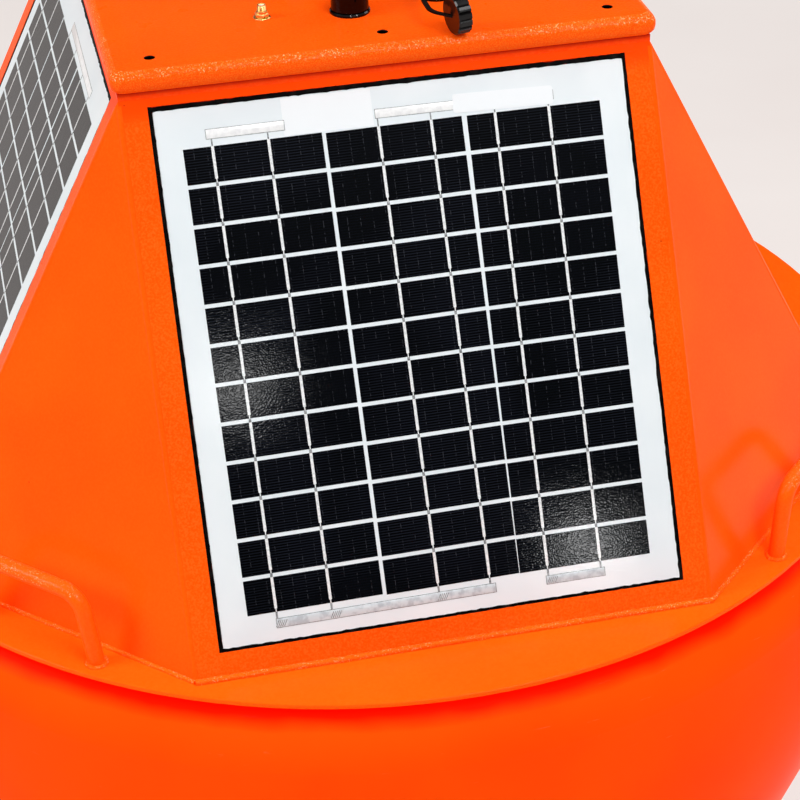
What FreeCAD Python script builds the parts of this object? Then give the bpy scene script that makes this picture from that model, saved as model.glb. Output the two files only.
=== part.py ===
"""Water quality monitoring buoy: a parametric FreeCAD model in millimetres.

A moulded float carries a round steel deck. On the deck stands an eight-sided tower of
painted sheet with four let-in solar panels, closed by a square lift-off lid. Under the
float hang a sonde, its guard and the cage on which the buoy stands ashore.

The origin is on the floor, in the middle of the cage's base ring. +Z is up and -Y is the front.
"""
import FreeCAD, Part
import math
import os
from types import SimpleNamespace

import Sketcher
from FreeCAD import Placement, Rotation, Vector

# Driving dimensions, in millimetres and degrees. Every other size is worked out from these.
DIMENSIONS = {
    # solar panels
    "panel_width": 328,
    "panel_length": 368,
    "panel_glass": 3.4,
    "panel_corner": 1.5,
    "seal_gap": 2.5,
    "seal_sink": 0.4,
    "seat_overlap": 14,
    "seat_margin": 3,
    "seat_plate": 3,
    # tower faces, which frame the panels
    "face_side_margin": 21.5,
    "face_foot_margin": 20,
    "face_head_margin": 8.2,
    "face_lean": 27.2,
    "sheet": 4,
    "head_mitre_spare": 1,
    "head_mitre_reach": 10,
    "head_mitre_depth": 12,
    # deck and handles
    "deck_plate": 4,
    "deck_edge_bevel": 0.6,
    "deck_rim": 11.6,
    "handle_rod": 12,
    "handle_span": 112,
    "handle_height": 60,
    "handle_bend": 20,
    "handle_offset": 17,
    # tower head, gasket and lid
    "head_plate": 5,
    "hatch_margin": 38.5,
    "coaming_wall": 3,
    "coaming_height": 9,
    "gasket_width": 10,
    "gasket_height": 4,
    "lid_overhang": 4.5,
    "lid_height": 14.5,
    "lid_sheet": 2.5,
    "lid_bend": 5,
    "lid_hole": 8,
    "lid_hole_from_side": 30,
    "lid_hole_from_front": 24,
    "fit_gap": 0.3,
    # fittings on the lid, placed from its middle line and from its front edge
    "jack_across": -75.3,
    "jack_from_front": 71,
    "jack_thread": 6.35,
    "jack_nut": 9,
    "jack_nut_height": 3,
    "jack_collar": 7.8,
    "jack_collar_height": 4.2,
    "jack_relief": 1,
    "jack_chamfer": 0.6,
    "jack_height": 9.7,
    "jack_tail": 5,
    "jack_bore": 4.6,
    "capped_across": -14,
    "capped_from_front": 66,
    "open_across": 51,
    "open_from_front": 79,
    "socket_flange": 28.5,
    "socket_flange_height": 2.2,
    "socket_flange_bevel": 0.8,
    "socket_barrel": 20,
    "socket_chamfer": 1,
    "socket_tail": 7.5,
    "socket_height": 15.5,
    "socket_bore": 15,
    "socket_depth": 11,
    "fitted_cap_diameter": 26.5,
    "fitted_cap_chamfer": 1.5,
    "fitted_cap_gap": 0.8,
    "cap_diameter": 27.5,
    "cap_chamfer": 1,
    "cap_depth": 9.5,
    "cap_wall": 2.2,
    "cap_notch": 1.1,
    "cap_notch_half": 2.2,
    "cap_turn": 12,
    "cap_dip": 2,
    "cap_across": -7.1,
    "cap_ahead": 73.5,
    "strap_width": 3.4,
    "strap_thickness": 1.6,
    "light_base_diameter": 124,
    "light_base_height": 34,
    "light_foot": 6,
    "light_foot_bevel": 2,
    "light_collar": 4,
    "light_collar_foot": 9,
    "light_collar_taper": 2,
    "light_lens_diameter": 96,
    "light_lens_height": 82,
    "lens_foot": 2,
    "lens_ribbed_height": 59,
    "lens_rib_depth": 3,
    "lens_draft": 2,
    "lens_crown": 9,
    # float
    "float_overhang": 15,
    "float_height": 392,
    "float_taper": 20,
    "float_break_height": 205,
    "float_side_sweep": 600,
    "float_bilge": 150,
    "float_shoulder": 45,
    "float_clear": 1,
    # underside
    "keel_plate": 8,
    "keel_rim": 15.5,
    "cage_radius": 222,
    "cage_leg": 25,
    "hoop_bar": 5,
    "hoop_depth": 25,
    "hoop_height": 115,
    "base_ring_plate": 10,
    "base_ring_width": 58,
    "base_bolt_hole": 13,
    "ballast_gap": 5.5,
    "ballast_width": 92,
    "ballast_height": 26,
    "ballast_chamfer": 3,
    "sonde_diameter": 72,
    "sonde_length": 128,
    "sonde_foot_collar": 38,
    "sonde_head_collar": 26,
    "sonde_waist_depth": 3,
    "sonde_flange": 126,
    "sonde_flange_plate": 12,
    "sonde_floor_gap": 38,
    "probe_length": 38,
    "probe_diameter": 21,
    "probe_circle": 38,
    "guard_diameter": 78,
    "guard_wall": 4,
    "guard_length": 72,
    "guard_slot": 16,
    "guard_slot_margin": 12,
    "guard_nose": 4,
    "lug_plate": 10,
    "lug_overhang": 42,
    "lug_length": 96,
    "lug_depth": 46,
    "lug_bore": 18,
    "lug_eye_round": 22,
    "lug_root_round": 11.5,
    # blocks inside the tower
    "battery_width": 180,
    "battery_depth": 260,
    "battery_height": 150,
    "logger_width": 130,
    "logger_depth": 220,
    "logger_height": 110,
    "bay_gap": 120,
}

# How often features repeat round a piece's axis, or up the lens.
CAP_NOTCHES = 16
LENS_RIBS = 6
BASE_BOLTS = 4
PROBES = 4
GUARD_SLOTS = 6

# Corners of the strap's tail from the middle of the open socket: across, deep and rounding.
STRAP_TAIL = [
    (-12.5, 1),
    (-20.5, -40, 50),
    (-20.3, -63, 18),
    (-6.77, -75.17),
    (-7.47, -71.84),
    (-17.3, -61.5, 15),
    (-17.2, -40, 50),
    (-10.8, 0),
]

QUARTERS = ("front", "right", "back", "left")
CORNERS = ("front_right", "back_right", "back_left", "front_left")


class Size:
    """A number together with the spreadsheet expression that gives it."""

    def __init__(self, number, text):
        self.number = float(number)
        self.text = text

    def __add__(self, other):
        return Size(self.number + number(other), f"({self.text} + {text(other)})")

    def __radd__(self, other):
        return Size(number(other) + self.number, f"({text(other)} + {self.text})")

    def __sub__(self, other):
        return Size(self.number - number(other), f"({self.text} - {text(other)})")

    def __rsub__(self, other):
        return Size(number(other) - self.number, f"({text(other)} - {self.text})")

    def __mul__(self, other):
        return Size(self.number * number(other), f"({self.text} * {text(other)})")

    __rmul__ = __mul__

    def __truediv__(self, other):
        return Size(self.number / number(other), f"({self.text} / {text(other)})")

    def __neg__(self):
        return Size(-self.number, f"(-1 * {self.text})")


def number(size):
    """The value of a size or of a plain number."""
    return size.number if isinstance(size, Size) else float(size)


def text(size):
    """The expression of a size or of a plain number."""
    return size.text if isinstance(size, Size) else f"{float(size):.9g}"


def sine(angle):
    return Size(math.sin(math.radians(number(angle))), f"sin({text(angle)})")


def cosine(angle):
    return Size(math.cos(math.radians(number(angle))), f"cos({text(angle)})")


def tangent(angle):
    return Size(math.tan(math.radians(number(angle))), f"tan({text(angle)})")


def arc_tangent(ratio):
    return Size(math.degrees(math.atan(number(ratio))), f"(atan({text(ratio)}) / 1deg)")


def arc_cosine(ratio):
    return Size(math.degrees(math.acos(number(ratio))), f"(acos({text(ratio)}) / 1deg)")


def square_root(size):
    return Size(math.sqrt(number(size)), f"sqrt({text(size)})")


def smallest(*sizes):
    joined = "; ".join(text(size) for size in sizes)
    return Size(min(number(size) for size in sizes), f"min({joined})")


doc = FreeCAD.newDocument("monitoring_buoy")


def fill_sheet():
    """Put the driving dimensions in the spreadsheet and return them by name."""
    sheet = doc.addObject("Spreadsheet::Sheet", "Sizes")
    named = {}
    for row, (alias, amount) in enumerate(DIMENSIONS.items(), start=1):
        sheet.set(f"A{row}", alias)
        sheet.set(f"B{row}", str(amount))
        sheet.setAlias(f"B{row}", alias)
        named[alias] = Size(amount, f"Sizes.{alias}")
    doc.recompute()
    return SimpleNamespace(**named)


S = fill_sheet()


def derive():
    """Work out the levels, radii and angles that several pieces share."""
    d = SimpleNamespace()
    # the faces are panels with their margins, and close to a square at the tower's head
    d.face_half = S.panel_width / 2 + S.face_side_margin
    d.face_length = S.face_foot_margin + S.panel_length + S.face_head_margin
    d.tower_height = d.face_length * cosine(S.face_lean)
    d.face_apothem = d.face_half + d.face_length * sine(S.face_lean)
    # the triangular sheets at the tower's corners
    root_two = square_root(2)
    d.corner_apothem = (d.face_apothem + d.face_half) / root_two
    d.corner_run = d.corner_apothem - d.face_half * root_two
    d.corner_base_half = (d.face_apothem - d.face_half) / root_two
    d.corner_length = square_root(d.corner_run * d.corner_run + d.tower_height * d.tower_height)
    d.corner_lean = arc_tangent(d.corner_run / d.tower_height)
    # the angle between a face's normal and a corner sheet's normal, and its mitre
    cos_fold = (cosine(S.face_lean) * cosine(d.corner_lean) / root_two
                + sine(S.face_lean) * sine(d.corner_lean))
    d.mitre = S.sheet * tangent(arc_cosine(cos_fold) / 2)
    # the window in a face
    d.window_half = S.panel_width / 2 + S.seal_gap
    d.window_low = S.face_foot_margin - S.seal_gap
    d.window_high = S.face_foot_margin + S.panel_length + S.seal_gap
    # the deck reaches past the handles, and the float past the deck
    d.handle_apothem = d.corner_apothem + S.handle_offset
    d.deck_radius = d.handle_apothem + S.handle_rod / 2 + S.deck_rim
    d.float_radius = d.deck_radius + S.float_overhang
    # the cage is as tall as the sonde and its guard need
    d.cage_height = S.sonde_flange_plate + S.sonde_length + S.guard_length + S.sonde_floor_gap
    d.keel_radius = S.cage_radius + S.cage_leg / 2 + S.keel_rim
    d.base_ring_inner = d.keel_radius - S.base_ring_width
    d.ballast_outer = S.cage_radius - S.cage_leg / 2 - S.ballast_gap
    # levels above the floor
    d.keel_top = d.cage_height + S.keel_plate
    d.float_top = d.keel_top + S.float_height
    d.deck_top = d.float_top + S.deck_plate
    d.tower_top = d.deck_top + d.tower_height
    d.head_top = d.tower_top + S.head_plate
    d.coaming_top = d.head_top + S.coaming_height
    d.gasket_top = d.coaming_top + S.gasket_height
    d.lid_under = d.gasket_top + S.fit_gap
    d.lid_top = d.lid_under + S.lid_sheet
    # the hatch, the lid and the fittings on it
    d.hatch_half = d.face_half - S.hatch_margin
    d.lid_half = d.face_half + S.lid_overhang
    d.jack_deep = S.jack_from_front - d.lid_half
    d.capped_deep = S.capped_from_front - d.lid_half
    d.open_deep = S.open_from_front - d.lid_half
    return d


D = derive()


# ---------------------------------------------------------------- drawing helpers

def bind(thing, path, size):
    """Tie a property to the spreadsheet when its size comes from there."""
    if isinstance(size, Size):
        thing.setExpression(path, size.text)


def new_body(label):
    body = doc.addObject("PartDesign::Body", label)
    body.Label = label
    return body


def origin_feature(body, role):
    return next(item for item in body.Origin.OriginFeatures if item.Role == role)


def new_sketch(body, name, plane="XY_Plane", height=0):
    """Attach a sketch to one of the body's own origin planes, raised along its normal."""
    sketch = body.newObject("Sketcher::SketchObject", f"{body.Label}_{name}")
    sketch.AttachmentSupport = [(origin_feature(body, plane), "")]
    sketch.MapMode = "FlatFace"
    sketch.AttachmentOffset = Placement(Vector(0, 0, number(height)), Rotation())
    bind(sketch, "AttachmentOffset.Base.z", height)
    return sketch


def constrain(sketch, size, kind, *where):
    index = sketch.addConstraint(Sketcher.Constraint(kind, *where, number(size)))
    bind(sketch, f"Constraints[{index}]", size)


def pin_point(sketch, geometry, point, across, up):
    """Fix a point by its two distances from the sketch's origin."""
    constrain(sketch, across, "DistanceX", -1, 1, geometry, point)
    constrain(sketch, up, "DistanceY", -1, 1, geometry, point)


def circle(sketch, radius, across=0, up=0):
    centre = Vector(number(across), number(up), 0)
    index = sketch.addGeometry(Part.Circle(centre, Vector(0, 0, 1), number(radius)), False)
    pin_point(sketch, index, 3, across, up)
    constrain(sketch, radius, "Radius", index)


def outline(sketch, corners, closed=True):
    """Draw straight runs between corners (across, up[, radius]); a radius rounds its corner."""
    at = [Vector(number(corner[0]), number(corner[1]), 0) for corner in corners]
    radii = [corner[2] if len(corner) > 2 else None for corner in corners]
    count = len(corners)
    runs = count if closed else count - 1
    starts = {}
    ends = {}
    for i in range(count):
        starts[i] = ends[i] = at[i]
        if radii[i] is not None:
            before = (at[i - 1] - at[i]).normalize()
            after = (at[(i + 1) % count] - at[i]).normalize()
            reach = number(radii[i]) / math.tan(before.getAngle(after) / 2)
            ends[i] = at[i] + before * reach
            starts[i] = at[i] + after * reach
    lines = []
    for i in range(runs):
        lines.append(sketch.addGeometry(Part.LineSegment(starts[i], ends[(i + 1) % count]), False))
    for i in range(count):
        after = lines[i] if i < runs else None
        before = lines[i - 1] if closed or i > 0 else None
        across, up = corners[i][0], corners[i][1]
        if before is None or after is None:
            pin_point(sketch, after if before is None else before, 1 if before is None else 2, across, up)
        elif radii[i] is None:
            sketch.addConstraint(Sketcher.Constraint("Coincident", before, 2, after, 1))
            pin_point(sketch, after, 1, across, up)
        else:
            round_corner(sketch, before, after, ends[i], at[i], starts[i], corners[i])


def round_corner(sketch, before, after, start, corner, end, sizes):
    """Join two runs with a tangent arc and pin the corner point where they would meet."""
    centre, facing = arc_centre(start, corner, end, number(sizes[2]))
    first = math.atan2(start.y - centre.y, start.x - centre.x)
    last = math.atan2(end.y - centre.y, end.x - centre.x)
    if not facing:
        first, last = last, first
    round_shape = Part.Circle(centre, Vector(0, 0, 1), number(sizes[2]))
    arc = sketch.addGeometry(Part.ArcOfCircle(round_shape, first, last), False)
    sketch.addConstraint(Sketcher.Constraint("Tangent", before, 2, arc, 1 if facing else 2))
    sketch.addConstraint(Sketcher.Constraint("Tangent", arc, 2 if facing else 1, after, 1))
    constrain(sketch, sizes[2], "Radius", arc)
    point = sketch.addGeometry(Part.Point(corner), True)
    sketch.addConstraint(Sketcher.Constraint("PointOnObject", point, 1, before))
    sketch.addConstraint(Sketcher.Constraint("PointOnObject", point, 1, after))
    pin_point(sketch, point, 1, sizes[0], sizes[1])


def arc_centre(start, corner, end, radius):
    """Centre of the arc that rounds a corner, and whether it runs anticlockwise."""
    bisector = ((start - corner) + (end - corner)).normalize()
    half = (start - corner).getAngle(end - corner) / 2
    turn = (corner - start).cross(end - corner).z
    return corner + bisector * (radius / math.sin(half)), turn > 0


def rectangle(sketch, left, low, right, high, radius=None):
    corners = [(left, low), (right, low), (right, high), (left, high)]
    if radius is not None:
        corners = [corner + (radius,) for corner in corners]
    outline(sketch, corners)


def centred_square(sketch, half, radius=None):
    rectangle(sketch, -half, -half, half, half, radius)


def pad(body, sketch, length, backwards=False):
    feature = body.newObject("PartDesign::Pad", f"{sketch.Name}_pad")
    feature.Profile = sketch
    feature.Length = number(length)
    bind(feature, "Length", length)
    feature.Reversed = backwards
    return feature


def pocket(body, sketch, length, backwards=False):
    feature = body.newObject("PartDesign::Pocket", f"{sketch.Name}_pocket")
    feature.Profile = sketch
    feature.Length = number(length)
    bind(feature, "Length", length)
    feature.Reversed = backwards
    return feature


def revolve(body, sketch):
    feature = body.newObject("PartDesign::Revolution", f"{sketch.Name}_turn")
    feature.Profile = sketch
    feature.ReferenceAxis = (sketch, ["V_Axis"])
    feature.Angle = 360
    return feature


def turned(label, corners):
    """A body of revolution about Z from a half section (radius, height[, rounding])."""
    body = new_body(label)
    sketch = new_sketch(body, "section", "XZ_Plane")
    outline(sketch, corners)
    revolve(body, sketch)
    return body


def repeat_round(body, feature, count):
    """Repeat a feature round the body's own Z axis."""
    pattern = body.newObject("PartDesign::PolarPattern", f"{feature.Name}_round")
    pattern.Originals = [feature]
    pattern.Axis = (origin_feature(body, "Z_Axis"), [""])
    pattern.Angle = 360
    pattern.Occurrences = count
    body.Tip = pattern
    return pattern


def edges_where(feature, test):
    """Names of the edges of a feature whose middle point passes a test."""
    names = []
    for index, edge in enumerate(feature.Shape.Edges, start=1):
        middle = edge.valueAt((edge.FirstParameter + edge.LastParameter) / 2)
        if test(edge, middle):
            names.append(f"Edge{index}")
    return names


def fillet(body, feature, radius, test):
    doc.recompute()
    rounding = body.newObject("PartDesign::Fillet", f"{feature.Name}_round")
    rounding.Base = (feature, edges_where(feature, test))
    rounding.Radius = number(radius)
    bind(rounding, "Radius", radius)
    return rounding


def place(body, across=0, deep=0, up=0, rotation=Rotation()):
    body.Placement = Placement(Vector(number(across), number(deep), number(up)), rotation)
    if isinstance(across, Size):
        bind(body, "Placement.Base.x", across)
    if isinstance(deep, Size):
        bind(body, "Placement.Base.y", deep)
    bind(body, "Placement.Base.z", up)


def stand_around(body, turn, apothem, up, lean_back=None):
    """Stand a body at an apothem in front of the axis, then turn it about the axis."""
    about = Rotation(Vector(0, 0, 1), turn)
    tilt = Rotation() if lean_back is None else Rotation(Vector(1, 0, 0), 90 - number(lean_back))
    radians = math.radians(turn)
    across = apothem * round(math.sin(radians), 12)
    deep = apothem * round(-math.cos(radians), 12)
    place(body, across, deep, up, about.multiply(tilt))


# ---------------------------------------------------------------- float and deck

def make_float():
    """Moulded float: flat top, round shoulder, long side sweep and round bilge."""
    radius = D.float_radius
    break_up = S.float_break_height
    bilge_turn = tangent((90 - S.float_taper) / 2)
    side_turn = tangent(S.float_taper / 2)
    slant = break_up / cosine(S.float_taper)
    side_room = (slant - S.float_bilge * bilge_turn - S.float_clear) / side_turn
    upper_room = (S.float_height - S.float_shoulder - break_up - S.float_clear) / side_turn
    sweep = smallest(S.float_side_sweep, side_room, upper_room)
    flat = radius - break_up * tangent(S.float_taper)
    body = turned("float_hull", [
        (0, 0),
        (flat, 0, S.float_bilge),
        (radius, break_up, sweep),
        (radius, S.float_height, S.float_shoulder),
        (0, S.float_height),
    ])
    place(body, up=D.keel_top)
    return body


def make_deck():
    """Round deck plate that caps the float and carries the tower."""
    body = new_body("deck_flange")
    sketch = new_sketch(body, "plate")
    circle(sketch, D.deck_radius)
    plate = pad(body, sketch, S.deck_plate)
    doc.recompute()
    bevel = body.newObject("PartDesign::Chamfer", "deck_flange_bevel")
    bevel.Base = (plate, edges_where(plate, lambda edge, middle: len(edge.Vertexes) == 1))
    bevel.Size = number(S.deck_edge_bevel)
    bind(bevel, "Size", S.deck_edge_bevel)
    place(body, up=D.float_top)
    return body


# ---------------------------------------------------------------- tower

def make_face(index):
    """Inclined tower face: mitred sheet with a window and a seat behind it for the panel."""
    body = new_body(f"tower_face_{QUARTERS[index]}")
    slip = S.sheet * tangent(S.face_lean)
    outer = new_sketch(body, "outer")
    rectangle(outer, -D.face_half, 0, D.face_half, D.face_length)
    inner = new_sketch(body, "inner", height=-S.sheet)
    inner_half = D.face_half - D.mitre
    rectangle(inner, -inner_half, slip, inner_half, D.face_length + slip)
    sheet = body.newObject("PartDesign::AdditiveLoft", f"{body.Label}_sheet")
    sheet.Profile = outer
    sheet.Sections = [inner]
    sheet.Ruled = True
    window = new_sketch(body, "window")
    rectangle(window, -D.window_half, D.window_low, D.window_half, D.window_high)
    pocket(body, window, S.sheet)
    seat = new_sketch(body, "seat", height=-S.sheet)
    outside = D.window_half + S.seat_margin
    rectangle(seat, -outside, D.window_low - S.seat_margin, outside, D.window_high + S.seat_margin)
    inside = S.panel_width / 2 - S.seat_overlap
    low = S.face_foot_margin + S.seat_overlap
    high = S.face_foot_margin + S.panel_length - S.seat_overlap
    rectangle(seat, -inside, low, inside, high)
    pad(body, seat, S.seat_plate, backwards=True)
    trim_to_neighbours(body)
    stand_around(body, 90 * index, D.face_apothem, D.deck_top, S.face_lean)
    return body


def trim_to_neighbours(body):
    """Cut the head corners of a face on the upright planes where it meets the next faces."""
    level = new_sketch(body, "head_mitre")
    height = Vector(0, number(D.tower_height * cosine(S.face_lean)),
                    number(D.tower_height * sine(S.face_lean)))
    level.AttachmentOffset = Placement(height, Rotation(Vector(1, 0, 0), number(S.face_lean) - 90))
    bind(level, "AttachmentOffset.Base.y", D.tower_height * cosine(S.face_lean))
    bind(level, "AttachmentOffset.Base.z", D.tower_height * sine(S.face_lean))
    back = D.face_apothem - D.face_half
    spare = S.head_mitre_spare
    reach = S.head_mitre_reach
    for side in (-1, 1):
        outline(level, [
            ((D.face_half + spare) * side, back - spare),
            ((D.face_half - reach) * side, back + reach),
            ((D.face_half + spare) * side, back + reach),
        ])
    pocket(body, level, S.head_mitre_depth)


def make_corner(index):
    """Triangular corner sheet, mitred to the faces on both sides."""
    body = new_body(f"tower_corner_{CORNERS[index]}")
    slip = S.sheet * tangent(D.corner_lean)
    half_apex = arc_tangent(D.corner_base_half / D.corner_length)
    outer = new_sketch(body, "outer")
    outline(outer, [(-D.corner_base_half, 0), (D.corner_base_half, 0), (0, D.corner_length)])
    inner_tip = D.corner_length - D.mitre / sine(half_apex)
    inner_base = (inner_tip - slip) * tangent(half_apex)
    inner = new_sketch(body, "inner", height=-S.sheet)
    outline(inner, [(-inner_base, slip), (inner_base, slip), (0, inner_tip)])
    sheet = body.newObject("PartDesign::AdditiveLoft", f"{body.Label}_sheet")
    sheet.Profile = outer
    sheet.Sections = [inner]
    sheet.Ruled = True
    stand_around(body, 45 + 90 * index, D.corner_apothem, D.deck_top, D.corner_lean)
    return body


def make_panel(index):
    """Solar panel laminate, seated in the window just below the face."""
    body = new_body(f"solar_panel_{QUARTERS[index]}")
    sketch = new_sketch(body, "glass", height=-S.sheet)
    half = S.panel_width / 2
    rectangle(sketch, -half, S.face_foot_margin, half, S.face_foot_margin + S.panel_length, S.panel_corner)
    pad(body, sketch, S.panel_glass)
    stand_around(body, 90 * index, D.face_apothem, D.deck_top, S.face_lean)
    return body


def make_seal(index):
    """Bead of sealant that fills the gap round a panel."""
    body = new_body(f"panel_seal_{QUARTERS[index]}")
    sketch = new_sketch(body, "bead", height=-S.sheet)
    rectangle(sketch, -D.window_half, D.window_low, D.window_half, D.window_high)
    half = S.panel_width / 2
    rectangle(sketch, -half, S.face_foot_margin, half, S.face_foot_margin + S.panel_length, S.panel_corner)
    pad(body, sketch, S.sheet - S.seal_sink)
    stand_around(body, 90 * index, D.face_apothem, D.deck_top, S.face_lean)
    return body


def make_head():
    """Square head plate of the tower with the coaming that keeps water out of the hatch."""
    body = new_body("tower_head_frame")
    plate = new_sketch(body, "plate")
    centred_square(plate, D.face_half)
    centred_square(plate, D.hatch_half)
    pad(body, plate, S.head_plate)
    wall = new_sketch(body, "coaming", height=S.head_plate)
    centred_square(wall, D.hatch_half + S.coaming_wall)
    centred_square(wall, D.hatch_half)
    pad(body, wall, S.coaming_height)
    place(body, up=D.tower_top)
    return body


def make_gasket():
    """Rubber gasket that lies on the coaming under the lid."""
    body = new_body("lid_gasket")
    sketch = new_sketch(body, "ring")
    middle = D.hatch_half + S.coaming_wall / 2
    centred_square(sketch, middle + S.gasket_width / 2)
    centred_square(sketch, middle - S.gasket_width / 2)
    pad(body, sketch, S.gasket_height)
    place(body, up=D.coaming_top)
    return body


def make_battery():
    """The battery, one plain block on the deck inside the tower."""
    body = new_body("battery_block")
    sketch = new_sketch(body, "block")
    left = -S.bay_gap / 2 - S.battery_width
    rectangle(sketch, left, -S.battery_depth / 2, left + S.battery_width, S.battery_depth / 2)
    pad(body, sketch, S.battery_height)
    place(body, up=D.deck_top)
    return body


def make_logger():
    """The data logger's closed case beside the battery."""
    body = new_body("logger_case")
    sketch = new_sketch(body, "block")
    left = S.bay_gap / 2
    rectangle(sketch, left, -S.logger_depth / 2, left + S.logger_width, S.logger_depth / 2)
    pad(body, sketch, S.logger_height)
    place(body, up=D.deck_top)
    return body


# ---------------------------------------------------------------- lid and its fittings

def make_lid():
    """Square lid of bent sheet with a turned-down lip and its rows of bolt holes."""
    body = new_body("lid")
    outer = new_sketch(body, "outer")
    half = D.lid_half
    centred_square(outer, half, S.lid_bend)
    block = pad(body, outer, S.lid_height)
    top = number(S.lid_height)
    fillet(body, block, S.lid_bend, lambda edge, middle: abs(middle.z - top) < 0.01)
    inner = new_sketch(body, "inner")
    centred_square(inner, half - S.lid_sheet)
    pocket(body, inner, S.lid_height - S.lid_sheet, backwards=True)
    holes = new_sketch(body, "holes", height=S.lid_height)
    across = half - S.lid_hole_from_side
    deep = half - S.lid_hole_from_front
    for side in (-1, 1):
        for column in (-1, 0, 1):
            circle(holes, S.lid_hole / 2, across * column, deep * side)
    circle(holes, S.jack_thread / 2 + S.fit_gap, S.jack_across, D.jack_deep)
    for across, deep in ((S.capped_across, D.capped_deep), (S.open_across, D.open_deep)):
        circle(holes, S.socket_barrel / 2 + S.fit_gap, across, deep)
    pocket(body, holes, 2 * S.lid_sheet)
    place(body, up=D.lid_top - S.lid_height)
    return body


def hexagon(sketch, across_flats):
    """Six equal sides round the sketch's origin, with a flat at the front."""
    radius = across_flats / math.sqrt(3)
    corners = []
    for step in range(6):
        angle = math.radians(60 * step)
        corners.append((radius * round(math.cos(angle), 12), radius * round(math.sin(angle), 12)))
    outline(sketch, corners)


def make_antenna_jack():
    """Threaded coaxial jack with its hexagonal nut; the bore is open at the top."""
    body = new_body("antenna_jack")
    nut = new_sketch(body, "nut")
    hexagon(nut, S.jack_nut)
    pad(body, nut, S.jack_nut_height)
    section = new_sketch(body, "section", "XZ_Plane")
    shaft = S.jack_thread / 2
    collar = S.jack_collar / 2
    collar_top = S.jack_collar_height
    bore = S.jack_bore / 2
    outline(section, [
        (0, -S.jack_tail),
        (shaft, -S.jack_tail),
        (shaft, 0),
        (collar, 0),
        (collar, collar_top),
        (shaft, collar_top + S.jack_relief),
        (shaft, S.jack_height - S.jack_chamfer),
        (shaft - S.jack_chamfer, S.jack_height),
        (bore, S.jack_height),
        (bore, collar_top),
        (0, collar_top),
    ])
    revolve(body, section)
    place(body, S.jack_across, D.jack_deep, D.lid_top)
    return body


def make_socket(label, across, deep, upper):
    """Socket with a round flange on the lid, from its tail up to the given upper section."""
    rim = S.socket_flange / 2
    barrel = S.socket_barrel / 2
    bevel = S.socket_flange_bevel
    body = turned(label, [
        (0, -S.socket_tail),
        (barrel, -S.socket_tail),
        (barrel, 0),
        (rim, 0),
        (rim, S.socket_flange_height - bevel),
        (rim - bevel, S.socket_flange_height),
        (barrel, S.socket_flange_height),
        *upper,
    ])
    place(body, across, deep, D.lid_top)
    return body


def make_open_socket():
    """Sensor socket without its cap: a barrel round an open socket."""
    barrel = S.socket_barrel / 2
    bore = S.socket_bore / 2
    floor = S.socket_height - S.socket_depth
    return make_socket("sensor_socket_open", S.open_across, D.open_deep, [
        (barrel, S.socket_height - S.socket_chamfer),
        (barrel - S.socket_chamfer, S.socket_height),
        (bore, S.socket_height),
        (bore, floor),
        (0, floor),
    ])


def knurl(body, radius, depth):
    """Cut three-sided finger notches round a cap's rim."""
    sketch = new_sketch(body, "notch")
    outline(sketch, [
        (radius - S.cap_notch, 0),
        (radius + S.cap_notch, -S.cap_notch_half),
        (radius + S.cap_notch, S.cap_notch_half),
    ])
    notch = pocket(body, sketch, depth, backwards=True)
    repeat_round(body, notch, CAP_NOTCHES)


def make_capped_socket():
    """Sensor socket closed by its screw cap."""
    cap = S.fitted_cap_diameter / 2
    foot = S.socket_flange_height + S.fitted_cap_gap
    crown = S.socket_height + S.cap_wall
    return make_socket("sensor_socket_capped", S.capped_across, D.capped_deep, [
        (S.socket_barrel / 2, foot),
        (cap, foot),
        (cap, crown - S.fitted_cap_chamfer),
        (cap - S.fitted_cap_chamfer, crown),
        (0, crown),
    ])


def make_hanging_cap():
    """Knurled screw cap of the open socket, standing on its rim near the lid's front edge."""
    cap = S.cap_diameter / 2
    body = turned("hanging_cap", [
        (0, 0),
        (cap - S.cap_chamfer, 0),
        (cap, S.cap_chamfer),
        (cap, S.cap_depth),
        (S.socket_barrel / 2 + S.fit_gap, S.cap_depth),
        (S.socket_barrel / 2 + S.fit_gap, S.cap_wall),
        (0, S.cap_wall),
    ])
    knurl(body, cap, S.cap_depth)
    turn = Rotation(Vector(0, 0, 1), number(S.cap_turn))
    dip = Rotation(Vector(0, 1, 0), 90 - number(S.cap_dip))
    rise = cap * cosine(S.cap_dip) + S.fit_gap
    across = S.open_across + S.cap_across
    place(body, across, D.open_deep - S.cap_ahead, D.lid_top + rise, turn.multiply(dip))
    return body


def make_strap():
    """Rubber strap with a ring round the open socket and a tail that ends on the cap."""
    body = new_body("cap_strap")
    level = S.cap_diameter / 2
    barrel = S.socket_barrel / 2 + S.fit_gap
    ring = new_sketch(body, "ring")
    circle(ring, barrel + S.strap_width)
    circle(ring, barrel)
    pad(body, ring, S.strap_thickness)
    tail = new_sketch(body, "tail")
    outline(tail, STRAP_TAIL)
    pad(body, tail, S.strap_thickness)
    place(body, S.open_across, D.open_deep, D.lid_top + level - S.strap_thickness / 2)
    return body


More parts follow.
